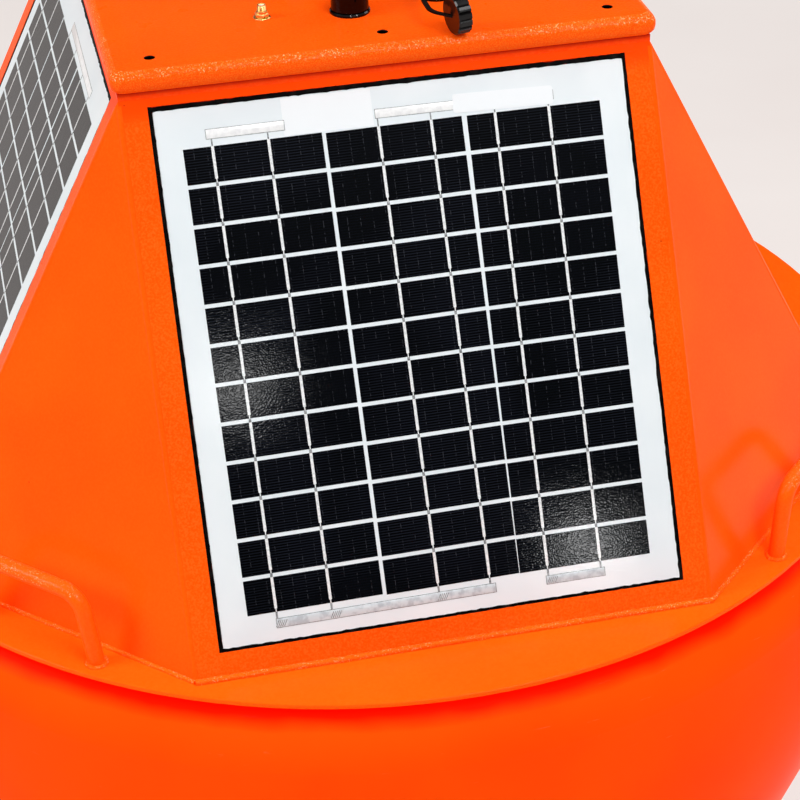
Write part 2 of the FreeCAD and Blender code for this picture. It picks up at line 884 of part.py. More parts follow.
def make_light():
    """Marker light on the lid: a round base and a ribbed clear lens."""
    rim = S.light_base_diameter / 2
    lens = S.light_lens_diameter / 2
    base = turned("marker_light_base", [
        (0, 0),
        (rim, 0),
        (rim, S.light_foot),
        (rim - S.light_foot_bevel, S.light_foot + S.light_foot_bevel),
        (lens + S.light_collar, S.light_collar_foot),
        (lens + S.light_collar_taper, S.light_base_height - S.light_collar_taper),
        (lens, S.light_base_height),
        (0, S.light_base_height),
    ])
    place(base, up=D.lid_top)
    corners = [(0, 0), (lens, 0)]
    rib_height = S.lens_ribbed_height / LENS_RIBS
    for rib in range(LENS_RIBS):
        low = S.lens_foot + rib_height * rib
        corners.append((lens, low))
        corners.append((lens - S.lens_rib_depth, low + rib_height / 2))
    corners.append((lens, S.lens_foot + S.lens_ribbed_height))
    corners.append((lens - S.lens_draft, S.light_lens_height, S.lens_crown))
    corners.append((0, S.light_lens_height))
    glass = turned("marker_light_lens", corners)
    place(glass, up=D.lid_top + S.light_base_height)
    return base, glass


# ---------------------------------------------------------------- handles

def make_handle(index):
    """Bent rod handle welded to the deck in front of a corner sheet."""
    body = new_body(f"deck_handle_{CORNERS[index]}")
    half = S.handle_span / 2
    profile = new_sketch(body, "rod")
    circle(profile, S.handle_rod / 2, -half, 0)
    path = new_sketch(body, "path", "XZ_Plane")
    outline(path, [
        (-half, 0),
        (-half, S.handle_height, S.handle_bend),
        (half, S.handle_height, S.handle_bend),
        (half, 0),
    ], closed=False)
    pipe = body.newObject("PartDesign::AdditivePipe", f"{body.Label}_bar")
    pipe.Profile = profile
    pipe.Spine = path
    stand_around(body, 45 + 90 * index, D.handle_apothem, D.deck_top)
    return body


# ---------------------------------------------------------------- underside

def make_keel_plate():
    """Round plate clamped against the flat of the float's bottom."""
    body = new_body("keel_plate")
    sketch = new_sketch(body, "plate")
    circle(sketch, D.keel_radius)
    pad(body, sketch, S.keel_plate)
    place(body, up=D.cage_height)
    return body


def make_cage_leg(index):
    """Upright of the cage, between the base ring and the keel plate."""
    body = new_body(f"cage_leg_{CORNERS[index]}")
    sketch = new_sketch(body, "bar")
    circle(sketch, S.cage_leg / 2)
    pad(body, sketch, D.cage_height - S.base_ring_plate)
    stand_around(body, 45 + 90 * index, S.cage_radius, S.base_ring_plate)
    return body


def make_hoop():
    """Guard hoop of flat bar, rolled to lie against the outside of the legs."""
    inside = S.cage_radius + S.cage_leg / 2 + S.fit_gap / 3
    body = turned("cage_hoop", [
        (inside, 0),
        (inside + S.hoop_bar, 0),
        (inside + S.hoop_bar, S.hoop_depth),
        (inside, S.hoop_depth),
    ])
    place(body, up=S.hoop_height)
    return body


def make_base_ring():
    """Flat ring on which the buoy stands, with four bolt holes."""
    body = new_body("cage_base_ring")
    sketch = new_sketch(body, "ring")
    circle(sketch, D.keel_radius)
    circle(sketch, D.base_ring_inner)
    pad(body, sketch, S.base_ring_plate)
    hole = new_sketch(body, "bolt_hole", height=S.base_ring_plate)
    circle(hole, S.base_bolt_hole / 2, (D.keel_radius + D.ballast_outer) / 2, 0)
    repeat_round(body, pocket(body, hole, S.base_ring_plate), BASE_BOLTS)
    return body


def make_ballast():
    """Cast ballast ring that lies on the base ring inside the legs."""
    outer = D.ballast_outer
    inner = outer - S.ballast_width
    slope = S.ballast_chamfer
    body = turned("ballast_ring", [
        (inner, 0),
        (outer, 0),
        (outer, S.ballast_height - slope),
        (outer - slope, S.ballast_height),
        (inner + slope, S.ballast_height),
        (inner, S.ballast_height - slope),
    ])
    place(body, up=S.base_ring_plate)
    return body


def make_sonde():
    """Water quality sonde hung from a flange under the keel plate."""
    radius = S.sonde_diameter / 2
    waist = radius - S.sonde_waist_depth
    waist_top = S.sonde_length - S.sonde_head_collar
    top = S.sonde_length + S.sonde_flange_plate
    body = turned("sonde_body", [
        (0, 0),
        (radius, 0),
        (radius, S.sonde_foot_collar),
        (waist, S.sonde_foot_collar + S.sonde_waist_depth),
        (waist, waist_top),
        (radius, waist_top + S.sonde_waist_depth),
        (radius, S.sonde_length),
        (S.sonde_flange / 2, S.sonde_length),
        (S.sonde_flange / 2, top),
        (0, top),
    ])
    place(body, up=D.cage_height - top)
    return body


def make_probes():
    """Four probes that stand out of the sonde's foot on a common end plate."""
    body = new_body("sonde_probes")
    room = S.guard_diameter / 2 - S.guard_wall - S.fit_gap
    plate = new_sketch(body, "end_plate")
    circle(plate, room)
    pad(body, plate, S.guard_wall, backwards=True)
    probe = new_sketch(body, "probe")
    circle(probe, S.probe_diameter / 2, S.probe_circle / 2, 0)
    repeat_round(body, pad(body, probe, S.probe_length, backwards=True), PROBES)
    place(body, up=D.cage_height - S.sonde_flange_plate - S.sonde_length)
    return body


def make_guard():
    """Slotted guard screwed over the sonde's probes."""
    outer = S.guard_diameter / 2
    inner = outer - S.guard_wall
    body = turned("sonde_guard", [
        (0, 0),
        (outer - S.guard_nose, 0),
        (outer, S.guard_nose),
        (outer, S.guard_length),
        (inner, S.guard_length),
        (inner, S.guard_wall),
        (0, S.guard_wall),
    ])
    slot = new_sketch(body, "slot", "XZ_Plane")
    half = S.guard_slot / 2
    margin = S.guard_slot_margin
    rectangle(slot, -half, margin, half, S.guard_length - margin)
    repeat_round(body, pocket(body, slot, S.guard_diameter), GUARD_SLOTS)
    place(body, up=S.sonde_floor_gap)
    return body


def make_lug(index):
    """Mooring lug under the keel plate, with a shackle bore at its outer end."""
    body = new_body(f"mooring_lug_{QUARTERS[index]}")
    sketch = new_sketch(body, "plate", "YZ_Plane", -S.lug_plate / 2)
    reach = D.keel_radius + S.lug_overhang
    root = reach - S.lug_length
    eye = S.lug_depth / 2
    outline(sketch, [
        (-reach, -S.lug_depth, S.lug_eye_round),
        (-root, -S.lug_depth, S.lug_root_round),
        (-root, 0),
        (-reach, 0, S.lug_eye_round),
    ])
    circle(sketch, S.lug_bore / 2, eye - reach, -eye)
    pad(body, sketch, S.lug_plate)
    place(body, up=D.cage_height, rotation=Rotation(Vector(0, 0, 1), 90 * index))
    return body


# ---------------------------------------------------------------- the assembly

def build():
    """Build every piece and return the bodies by label."""
    pieces = [make_float(), make_deck()]
    for index in range(4):
        pieces += [make_face(index), make_corner(index), make_panel(index), make_seal(index)]
        pieces += [make_handle(index), make_cage_leg(index), make_lug(index)]
    pieces += [make_head(), make_gasket(), make_lid(), make_battery(), make_logger()]
    pieces += [make_antenna_jack(), make_capped_socket(), make_open_socket()]
    pieces += [make_hanging_cap(), make_strap(), *make_light()]
    pieces += [make_keel_plate(), make_hoop(), make_base_ring(), make_ballast()]
    pieces += [make_sonde(), make_probes(), make_guard()]
    doc.recompute()
    return pieces


def check(pieces):
    """Stop when any object failed or any piece is empty, broken or not one solid."""
    for item in doc.Objects:
        if "Invalid" in item.State or "Error" in item.State:
            raise RuntimeError(f"{item.Label}: {item.State}")
    for piece in pieces:
        shape = piece.Shape
        if shape.isNull() or not shape.isValid() or len(shape.Solids) != 1:
            raise RuntimeError(f"{piece.Label} is not one valid solid")


def export(pieces):
    os.makedirs("parts", exist_ok=True)
    for piece in pieces:
        piece.Shape.exportStep(os.path.join("parts", f"{piece.Label}.step"))
        box = piece.Shape.BoundBox
        print(f"{piece.Label:28s} {piece.Shape.Volume / 1e6:9.4f} l  "
              f"z {box.ZMin:8.2f} {box.ZMax:8.2f}")


model = build()
check(model)
export(model)
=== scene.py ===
"""Looks of the water quality monitoring buoy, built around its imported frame.

Lengths are in metres. +Z is up, -Y is the front, and the origin is on the floor on the buoy's axis.
A face of the tower has a frame of its own: across, up its slope from the deck, and outward.
"""

import logging
import math
from collections.abc import Callable, Iterable, Iterator, Sequence
from contextlib import contextmanager
from dataclasses import dataclass
from enum import Enum

import bmesh
import bpy
from mathutils import Matrix, Vector


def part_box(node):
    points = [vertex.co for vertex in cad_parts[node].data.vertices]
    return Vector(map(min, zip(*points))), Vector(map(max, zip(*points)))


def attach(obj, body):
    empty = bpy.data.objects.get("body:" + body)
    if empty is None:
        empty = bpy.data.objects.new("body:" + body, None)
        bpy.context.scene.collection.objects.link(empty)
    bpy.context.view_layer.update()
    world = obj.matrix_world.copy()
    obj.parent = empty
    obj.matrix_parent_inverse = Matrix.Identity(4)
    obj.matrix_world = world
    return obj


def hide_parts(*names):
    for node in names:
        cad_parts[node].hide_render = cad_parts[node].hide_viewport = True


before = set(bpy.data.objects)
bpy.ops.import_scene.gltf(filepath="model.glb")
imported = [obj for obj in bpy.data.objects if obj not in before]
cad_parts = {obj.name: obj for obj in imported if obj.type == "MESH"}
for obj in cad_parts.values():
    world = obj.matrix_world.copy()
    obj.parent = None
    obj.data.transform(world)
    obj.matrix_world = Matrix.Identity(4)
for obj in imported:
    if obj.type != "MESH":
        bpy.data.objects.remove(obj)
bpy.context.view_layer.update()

MM = 0.001
LOG = logging.getLogger("buoy")

Colour = tuple[float, float, float]
Band = tuple[float, float]
Piece = bpy.types.Object
Socket = bpy.types.NodeSocket


# ------------------------------------------------------------------ names shared by all pieces

class Body(Enum):
    """The two bodies that pieces ride on."""

    BUOY = "buoy"
    LID = "lid_assembly"


class Slot(Enum):
    """The record's material slots."""

    ORANGE = "orange_paint"
    FLOAT = "float_plastic"
    GLASS = "panel_glass"
    SEALANT = "sealant"
    GILT = "gilt_brass"
    BLACK = "black_plastic"
    RUBBER = "black_rubber"
    AMBER = "amber_lens"
    IRON = "cast_iron"
    DARK_CASE = "dark_case"
    GREY_CASE = "grey_case"
    SONDE = "sonde_plastic"
    STEEL = "galvanised_steel"


class Point(Enum):
    """What a pattern follows: the object's own space, its unwrapped surface or the sky's direction."""

    OBJECT = "Object"
    UV = "UV"
    SKY = "Generated"


QUARTERS = ("front", "right", "back", "left")
CORNERS = ("front_right", "back_right", "back_left", "front_left")


def mm(*values: float) -> tuple[float, ...]:
    """Turn millimetres into metres."""
    return tuple(value * MM for value in values)


def shift(x: float, y: float, z: float = 0.0) -> Matrix:
    """Give a move along the three axes."""
    return Matrix.Translation((x, y, z))


def swing(degrees: float) -> Matrix:
    """Give a turn about Z, anticlockwise from above."""
    return Matrix.Rotation(math.radians(degrees), 4, "Z")


# ------------------------------------------------------------------ materials

def linear(red: float, green: float, blue: float) -> tuple[float, float, float, float]:
    """Turn a display colour from 0 to 255 into the linear colour that shaders take.

    Args:
        red: Red as a display shows it.
        green: Green as a display shows it.
        blue: Blue as a display shows it.

    Returns:
        Red, green, blue and a full alpha, linear.
    """
    channels = []
    for value in (red, green, blue):
        share = value / 255
        channels.append(share / 12.92 if share <= 0.04045 else ((share + 0.055) / 1.055) ** 2.4)
    return (*channels, 1.0)


class Recipe:
    """A node tree that is written a node at a time."""

    def __init__(self, tree: bpy.types.NodeTree, output: str) -> None:
        """Empty a tree and give it an output.

        Args:
            tree: The tree of a material or of the sky.
            output: The output node's type.
        """
        self.tree = tree
        tree.nodes.clear()
        self.output = self.node(output)

    def node(self, kind: str, **settings: object) -> bpy.types.Node:
        """Add a node and set its properties by name.

        Args:
            kind: The node's type.
            **settings: Properties of the node.

        Returns:
            The new node.
        """
        made = self.tree.nodes.new(kind)
        for key, value in settings.items():
            setattr(made, key, value)
        return made

    def feed(self, socket: Socket, value: object) -> None:
        """Wire a socket, or set it when the value is plain.

        Args:
            socket: The input.
            value: An output socket, a number or a linear colour.
        """
        if isinstance(value, Socket):
            self.tree.links.new(value, socket)
        else:
            socket.default_value = value

    def show(self, shader: Socket) -> None:
        """Wire a shader to the output."""
        self.feed(self.output.inputs["Surface"], shader)

    def surface(self, **inputs: object) -> Socket:
        """Write a Principled shader and show it.

        Args:
            **inputs: Values or output sockets by input name, with underscores for blanks.

        Returns:
            The shader's output.
        """
        shader = self.node("ShaderNodeBsdfPrincipled")
        for key, value in inputs.items():
            self.feed(shader.inputs[key.replace("_", " ")], value)
        self.show(shader.outputs["BSDF"])
        return shader.outputs["BSDF"]

    def blend(self, share: Socket, first: Socket, second: Socket) -> None:
        """Mix two shaders and show the mixture.

        Args:
            share: 0 for the first, 1 for the second.
            first: First shader.
            second: Second shader.
        """
        made = self.node("ShaderNodeMixShader")
        for socket, value in zip(made.inputs, (share, first, second)):
            self.feed(socket, value)
        self.show(made.outputs["Shader"])

    def seen(self, glossy: object = 1.0) -> Socket:
        """Tell the rays that look at things from those that light them.

        Args:
            glossy: How far a mirrored ray counts as one that looks.

        Returns:
            1 for rays from the camera or through glass, 0 for rays that light something.
        """
        path = self.node("ShaderNodeLightPath").outputs
        looks = self.times(path["Is Glossy Ray"], glossy)
        for name in ("Is Transmission Ray", "Is Camera Ray"):
            looks = self.sums("MAXIMUM", path[name], looks)
        return looks

    def place(self, source: Point = Point.OBJECT, stretch: Sequence[float] | None = None) -> Socket:
        """Give the coordinates that patterns read.

        Args:
            source: What the coordinates follow.
            stretch: Scale along each axis, 1 when left out.

        Returns:
            The vector output.
        """
        out = self.node("ShaderNodeTexCoord").outputs[source.value]
        if stretch is None:
            return out
        mapping = self.node("ShaderNodeMapping")
        mapping.inputs["Scale"].default_value = stretch
        self.feed(mapping.inputs["Vector"], out)
        return mapping.outputs["Vector"]

    def along(self, axis: str, source: Point = Point.OBJECT) -> Socket:
        """Give one coordinate by itself.

        Args:
            axis: The coordinate's letter. Z in object space is the height above the floor.
            source: What the coordinates follow.

        Returns:
            The coordinate.
        """
        split = self.node("ShaderNodeSeparateXYZ")
        self.feed(split.inputs[0], self.place(source))
        return split.outputs[axis]

    def sums(self, operation: str, first: object, second: object = 0.0, third: object = 0.0) -> Socket:
        """Calculate with values.

        Args:
            operation: The Math node's operation.
            first: First value.
            second: Second value.
            third: Third value.

        Returns:
            The result.
        """
        made = self.node("ShaderNodeMath", operation=operation)
        for index, value in enumerate((first, second, third)):
            self.feed(made.inputs[index], value)
        return made.outputs[0]

    def times(self, first: object, second: object) -> Socket:
        """Multiply two values."""
        return self.sums("MULTIPLY", first, second)

    def spread(self, share: Socket, width: float, low: float) -> Socket:
        """Turn a share from 0 to 1 into a value that starts low and rises by a width."""
        return self.sums("MULTIPLY_ADD", share, width, low)

    def within(self, value: Socket, band: Band) -> Socket:
        """Give 1 where a value lies between the two ends of a band, and 0 elsewhere."""
        return self.times(self.sums("GREATER_THAN", value, band[0]), self.sums("LESS_THAN", value, band[1]))

    def noise(self, size: float, detail: float, place: Socket | None = None, rough: float = 0.5) -> Socket:
        """Cloudy noise from 0 to 1.

        Args:
            size: Width of a cloud in metres.
            detail: Octaves.
            place: Coordinates, object space when left out.
            rough: Strength of the finer octaves.

        Returns:
            The factor output.
        """
        made = self.node("ShaderNodeTexNoise")
        for key, value in (("Scale", 1 / size), ("Detail", detail), ("Roughness", rough)):
            made.inputs[key].default_value = value
        self.feed(made.inputs["Vector"], place or self.place())
        return made.outputs["Fac"]

    def cells(self, size: float, feature: str = "F1") -> bpy.types.Node:
        """Add a Voronoi node in object space.

        Args:
            size: Width of a cell in metres.
            feature: What the node measures.

        Returns:
            The node.
        """
        made = self.node("ShaderNodeTexVoronoi", feature=feature)
        made.inputs["Scale"].default_value = 1 / size
        self.feed(made.inputs["Vector"], self.place())
        return made

    def ramp(self, value: object, *stops: tuple[float, float]) -> Socket:
        """Turn one value into another along straight runs.

        Args:
            value: The value that is looked up.
            *stops: Pairs of a value and what it becomes, each from 0 to 1.

        Returns:
            The looked-up grey as a colour output.
        """
        made = self.node("ShaderNodeValToRGB")
        marks = made.color_ramp.elements
        while len(marks) < len(stops):
            marks.new(0.5)
        for mark, (at, grey) in zip(marks, stops):
            mark.position = at
            mark.color = (grey, grey, grey, 1)
        self.feed(made.inputs["Fac"], value)
        return made.outputs["Color"]

    def rise(self, value: object, low: float, high: float) -> Socket:
        """Give 0 up to the low value, 1 from the high one and a straight run between."""
        return self.ramp(value, (low, 0), (high, 1))

    def clouds(self, size: float, detail: float, low: float, high: float) -> Socket:
        """Give noise whose lows are cut to 0 and whose highs are cut to 1."""
        return self.rise(self.noise(size, detail), low, high)

    def between(self, share: object, low: object, high: object) -> Socket:
        """Blend two colours, each an output socket or a display colour.

        Args:
            share: 0 for the first, 1 for the second.
            low: First colour.
            high: Second colour.

        Returns:
            The blended colour.
        """
        made = self.node("ShaderNodeMix", data_type="RGBA")
        self.feed(made.inputs[0], share)
        for index, value in ((6, low), (7, high)):
            self.feed(made.inputs[index], linear(*value) if isinstance(value, tuple) else value)
        return made.outputs[2]

    def bump(self, height: Socket, depth: float, under: Socket | None = None) -> Socket:
        """Turn a height from 0 to 1 into a bent normal.

        Args:
            height: The height.
            depth: Metres between a height of 0 and one of 1.
            under: A normal that is bent further.

        Returns:
            The normal output.
        """
        made = self.node("ShaderNodeBump")
        made.inputs["Distance"].default_value = depth
        self.feed(made.inputs["Height"], height)
        if under is not None:
            self.feed(made.inputs["Normal"], under)
        return made.outputs["Normal"]

    def patterned_glass(self) -> Socket:
        """Give the normal of the panels' pebbled front glass."""
        return self.bump(self.cells(1.1 * MM, "SMOOTH_F1").outputs["Distance"], 0.026 * MM)


@dataclass(frozen=True)
class Finish:
    """A finish that is mixed once and then shared by every piece that wears it."""

    name: str
    slot: Slot

    def mix(self, recipe: Recipe) -> None:
        """Write the finish's nodes.

        Args:
            recipe: The tree that is written.
        """
        raise NotImplementedError

    def material(self) -> bpy.types.Material:
        """Return the finish's material, mixed the first time it is asked for.

        Returns:
            The material.
        """
        material = bpy.data.materials.get(self.name)
        if material is None:
            material = bpy.data.materials.new(self.name)
            material.use_nodes = True
            self.mix(Recipe(material.node_tree, "ShaderNodeOutputMaterial"))
        return material


@dataclass(frozen=True)
class Paint(Finish):
    """Sprayed signal paint with an orange-peel surface; its emission is a painted red glow that keeps shaded
    paint bright red.
    """

    light: Colour = (246, 94, 9)
    deep: Colour = (246, 87, 8)
    # Painted highlight on the crests of the peel.
    crest_highlight_tone: Colour = (255, 146, 60)
    # Painted shade in the pits of the peel.
    pit_shade_tone: Colour = (236, 50, 4)
    # Painted glints along the lid's rounded front edge.
    glint_grain_tone: Colour = (255, 166, 56)
    # Painted glints on the crests of the peel.
    painted_glint_tone: Colour = (255, 224, 160)
    # Painted shade under the lid.
    painted_shade_tone: Colour = (250, 74, 6)
    speck_tone: Colour = (120, 30, 6)
    peel: float = 0.05 * MM
    peel_size: float = 2.6 * MM
    grit: float = 0.02 * MM
    # How strongly the painted highlight and shade of the peel show.
    peel_light_and_shade: float = 0.1
    # Strength of the painted glints; the next line is their band of heights.
    painted_glint: float = 0.0
    painted_glint_band: Band = (0.0, 2.0)
    # Strength of the painted glint grain and its band of heights.
    grain: float = 0.0
    glint_grain_band: Band = (0.0, 2.0)
    # Band of heights that takes painted shade under the lid.
    painted_shade_band: Band | None = None
    rough: float = 0.3
    level: float = 0.02
    coat: float = 0.08
    gloss: float = 0.12
    # Strength of a painted red glow: the paint gives off light though it is no lamp.
    glow: float = 0.22

    def mix(self, recipe: Recipe) -> None:
        """Write clouded colour, peel, grit, painted highlight on the peel's crests and painted shade in its
        pits, painted glints and painted shade kept to bands of heights, and rare dark specks.

        Args:
            recipe: The tree that is written.
        """
        body = recipe.between(recipe.clouds(0.09, 3, 0.35, 0.65), self.deep, self.light)
        swell = recipe.noise(self.peel_size, 2)
        # Painted highlight on the peel's crests and painted shade in its pits, from the same noise as the
        # peel's bump.
        body = recipe.between(recipe.times(recipe.rise(swell, 0.45, 0.68), self.peel_light_and_shade), body, self.crest_highlight_tone)
        pits = recipe.times(recipe.ramp(swell, (0.32, 1), (0.48, 0)), self.peel_light_and_shade)
        body = recipe.between(pits, body, self.pit_shade_tone)
        # Painted highlight: a golden grain of glints over a band of heights, on the lid's rounded front edge.
        if self.grain:
            glint_grain = recipe.times(recipe.within(recipe.along("Z"), self.glint_grain_band),
                                 recipe.clouds(0.9 * MM, 1, 0.48, 0.66))
            body = recipe.between(recipe.times(glint_grain, self.grain), body, self.glint_grain_tone)
        # Painted glints: bright pinpoints on the peel's crests.
        if self.painted_glint:
            body = recipe.between(self.painted_glints(recipe), body, self.painted_glint_tone)
        # Painted shade: the colour turns darker and redder over a band of heights, where the lid shades the
        # sheet below it.
        if self.painted_shade_band:
            start, end = (height - 0.5 for height in self.painted_shade_band)
            shaded = recipe.rise(recipe.sums("SUBTRACT", recipe.along("Z"), 0.5), start, end)
            body = recipe.between(shaded, body, self.painted_shade_tone)
        specks = recipe.ramp(recipe.cells(16 * MM).outputs["Distance"], (0.03, 1), (0.05, 0))
        marks = recipe.times(recipe.times(specks, recipe.clouds(30 * MM, 1, 0.58, 0.6)), 0.7)
        body = recipe.between(marks, body, self.speck_tone)
        normal = recipe.bump(recipe.noise(0.7 * MM, 2), self.grit, recipe.bump(swell, self.peel))
        rough = recipe.spread(recipe.noise(25 * MM, 3), 0.16, self.rough - 0.08)
        # The emission is a painted red glow that keeps shaded paint bright red.
        recipe.surface(Base_Color=body, Roughness=rough, Normal=normal, Specular_Tint=(1, 0.42, 0.07, 1),
                       Specular_IOR_Level=self.level, Coat_Weight=self.coat, Coat_Roughness=self.gloss,
                       Coat_Normal=normal, Emission_Color=(1, 0.02, 0, 1), Emission_Strength=self.glow)

    def painted_glints(self, recipe: Recipe) -> Socket:
        """Give painted glints: bright pinpoints on the crests of the peel, kept to a band of heights.

        Args:
            recipe: The tree that is written.

        Returns:
            How much of the painted glint colour shows.
        """
        points = recipe.clouds(1.2 * MM, 1, 0.6, 0.68)
        patches = recipe.ramp(recipe.noise(14 * MM, 2), (0.4, 0.3), (0.6, 1))
        shown = recipe.times(recipe.times(points, patches), recipe.within(recipe.along("Z"), self.painted_glint_band))
        return recipe.times(shown, self.painted_glint)


@dataclass(frozen=True)
class Skin(Finish):
    """Moulded float skin: even, glossy, with soft waves and old scuffs, a red band of painted shade under the
    deck and a painted red glow.
    """

    light: Colour = (250, 84, 7)
    deep: Colour = (250, 74, 6)
    scuff_tone: Colour = (255, 130, 84)
    # Painted shade: the red band under the deck's rim, its heights and its sway.
    rim_shade_tone: Colour = (246, 8, 0)
    rim: Band = (0.633, 0.641)
    rim_shade_sway: float = 4 * MM
    # Strength of a painted red glow that keeps the skin's shade bright red.
    glow: float = 0.3

    def mix(self, recipe: Recipe) -> None:
        """Write soft colour clouds, waves in the gloss, fine scuffs, the painted shade under the deck's rim
        and the painted glow.

        Args:
            recipe: The tree that is written.
        """
        body = recipe.between(recipe.clouds(0.16, 3, 0.35, 0.65), self.deep, self.light)
        scuffs = recipe.rise(recipe.noise(26 * MM, 4, recipe.place(stretch=(1, 1, 9)), 0.6), 0.69, 0.74)
        body = recipe.between(recipe.times(scuffs, 0.3), body, self.scuff_tone)
        # Painted shade: a red band under the deck's rim, where the deck shades the float.
        height = recipe.sums("MULTIPLY_ADD", recipe.noise(30 * MM, 1), self.rim_shade_sway, recipe.along("Z"))
        shaded = recipe.rise(recipe.sums("SUBTRACT", height, self.rim_shade_sway / 2), *self.rim)
        body = recipe.between(shaded, body, self.rim_shade_tone)
        waves = recipe.bump(recipe.noise(0.11, 1), 1.2 * MM)
        normal = recipe.bump(recipe.noise(3.5 * MM, 2), 0.012 * MM, waves)
        # The emission is a painted red glow that keeps shaded skin bright red.
        recipe.surface(Base_Color=body, Roughness=recipe.spread(scuffs, 0.3, 0.3), Normal=normal,
                       Specular_Tint=(1, 0.38, 0.06, 1), Specular_IOR_Level=0.008, Coat_Weight=0.003,
                       Coat_Roughness=0.12, Coat_Normal=normal, Emission_Color=(1, 0.01, 0, 1),
                       Emission_Strength=self.glow)


@dataclass(frozen=True)
class BackSheet(Finish):
    """White back sheet seen through the panel's glass."""

    white: Colour = (242, 249, 252)
    shade: Colour = (234, 243, 247)
    glaze: float = 0.5

    def mix(self, recipe: Recipe) -> None:
        """Write a faintly clouded white under the glass.

        Args:
            recipe: The tree that is written.
        """
        body = recipe.between(recipe.clouds(60 * MM, 2, 0.35, 0.65), self.shade, self.white)
        recipe.surface(Base_Color=body, Roughness=0.55, Coat_Weight=self.glaze, Coat_Roughness=0.08,
                       Coat_Normal=recipe.patterned_glass())


@dataclass(frozen=True)
class Silicon(Finish):
    """Solar cells: near-black silicon with printed silver fingers under the glass."""

    finger_pitch: float = 1.85 * MM
    finger_share: float = 0.36
    finger_tone: Colour = (22, 25, 34)
    dash_pitch: float = 9.0 * MM
    dash_share: float = 0.06
    dash_tone: Colour = (90, 92, 100)

    def mix(self, recipe: Recipe) -> None:
        """Write finger lines along u, faint dashed lines along v and a bluish bloom.

        Args:
            recipe: The tree that is written.
        """
        fingers = self.lines(recipe, "Y", self.finger_pitch, self.finger_share)
        dashes = recipe.times(self.lines(recipe, "X", self.dash_pitch, self.dash_share),
                              recipe.clouds(1.6 * MM, 1, 0.5, 0.6))
        body = recipe.between(recipe.clouds(45 * MM, 2, 0.4, 0.7), (0, 1, 2), (2, 3, 7))
        shine = recipe.spread(recipe.clouds(90 * MM, 1, 0.4, 0.6), 0.6, 0.4)
        body = recipe.between(recipe.times(fingers, shine), body, self.finger_tone)
        body = recipe.between(recipe.times(dashes, 0.25), body, self.dash_tone)
        recipe.surface(Base_Color=body, Roughness=0.4, Coat_Weight=0.5, Coat_Roughness=0.05,
                       Coat_Normal=recipe.patterned_glass(), Specular_IOR_Level=0.02)

    @staticmethod
    def lines(recipe: Recipe, across: str, pitch: float, share: float) -> Socket:
        """Write a comb of lines.

        Args:
            recipe: The tree that is written.
            across: Letter of the coordinate that the lines are counted along.
            pitch: Metres from line to line.
            share: Part of the pitch that a line covers.

        Returns:
            1 on a line and 0 beside it.
        """
        turns = recipe.sums("FRACT", recipe.sums("DIVIDE", recipe.along(across, Point.UV), pitch))
        away = recipe.sums("ABSOLUTE", recipe.sums("SUBTRACT", turns, 0.5))
        return recipe.sums("LESS_THAN", away, share / 2)


@dataclass(frozen=True)
class Tinned(Finish):
    """Tin-plated copper ribbon with uneven solder."""

    tone: Colour = (246, 248, 248)
    shade: Colour = (222, 226, 228)
    metallic: float = 0.0
    crinkle: float = 1.6 * MM
    depth: float = 0.04 * MM

    def mix(self, recipe: Recipe) -> None:
        """Write a crinkled pale metal under the glass.

        Args:
            recipe: The tree that is written.
        """
        crinkle = recipe.noise(self.crinkle, 3)
        body = recipe.between(recipe.rise(crinkle, 0.38, 0.56), self.shade, self.tone)
        recipe.surface(Base_Color=body, Metallic=self.metallic, Roughness=0.42,
                       Normal=recipe.bump(crinkle, self.depth), Coat_Weight=1.0, Coat_Roughness=0.08,
                       Coat_Normal=recipe.patterned_glass())


@dataclass(frozen=True)
class Plastic(Finish):
    """Moulded plastic or rubber with a fine grain and rubbed high spots."""

    tone: Colour = (12, 12, 13)
    worn: Colour = (34, 34, 36)
    grain: float = 0.6 * MM
    depth: float = 0.02 * MM
    rough: float = 0.3
    sheen: float = 0.15
    coat: float = 0.12

    def mix(self, recipe: Recipe) -> None:
        """Write grain, a little dust and uneven gloss.

        Args:
            recipe: The tree that is written.
        """
        dust = recipe.clouds(9 * MM, 4, 0.52, 0.8)
        recipe.surface(Base_Color=recipe.between(recipe.times(dust, 0.6), self.tone, self.worn),
                       Roughness=recipe.spread(dust, 0.2, self.rough),
                       Normal=recipe.bump(recipe.noise(self.grain, 2), self.depth),
                       Specular_IOR_Level=self.sheen, Coat_Weight=self.coat, Coat_Roughness=0.08)


@dataclass(frozen=True)
class Metal(Finish):
    """Bare or plated metal with spangled colour."""

    tone: Colour = (176, 180, 184)
    shade: Colour = (120, 124, 128)
    spangle: float = 9 * MM
    rough: float = 0.42
    depth: float = 0.03 * MM

    def mix(self, recipe: Recipe) -> None:
        """Write spangles, fine scratches and uneven gloss.

        Args:
            recipe: The tree that is written.
        """
        grey = recipe.node("ShaderNodeRGBToBW")
        recipe.feed(grey.inputs[0], recipe.cells(self.spangle).outputs["Color"])
        flakes = grey.outputs[0]
        recipe.surface(Base_Color=recipe.between(flakes, self.shade, self.tone), Metallic=1.0,
                       Roughness=recipe.spread(flakes, 0.14, self.rough - 0.07),
                       Normal=recipe.bump(recipe.noise(1.2 * MM, 3), self.depth))


@dataclass(frozen=True)
class Casting(Finish):
    """Painted iron casting with a sandy skin and rust in its pits."""

    paint: Colour = (34, 34, 36)
    rust: Colour = (104, 52, 28)

    def mix(self, recipe: Recipe) -> None:
        """Write sand texture, black paint and rust blooms.

        Args:
            recipe: The tree that is written.
        """
        blooms = recipe.rise(recipe.noise(26 * MM, 5, rough=0.6), 0.6, 0.72)
        recipe.surface(Base_Color=recipe.between(recipe.times(blooms, 0.8), self.paint, self.rust),
                       Roughness=recipe.spread(blooms, 0.3, 0.5),
                       Normal=recipe.bump(recipe.noise(2.2 * MM, 4, rough=0.65), 0.5 * MM))


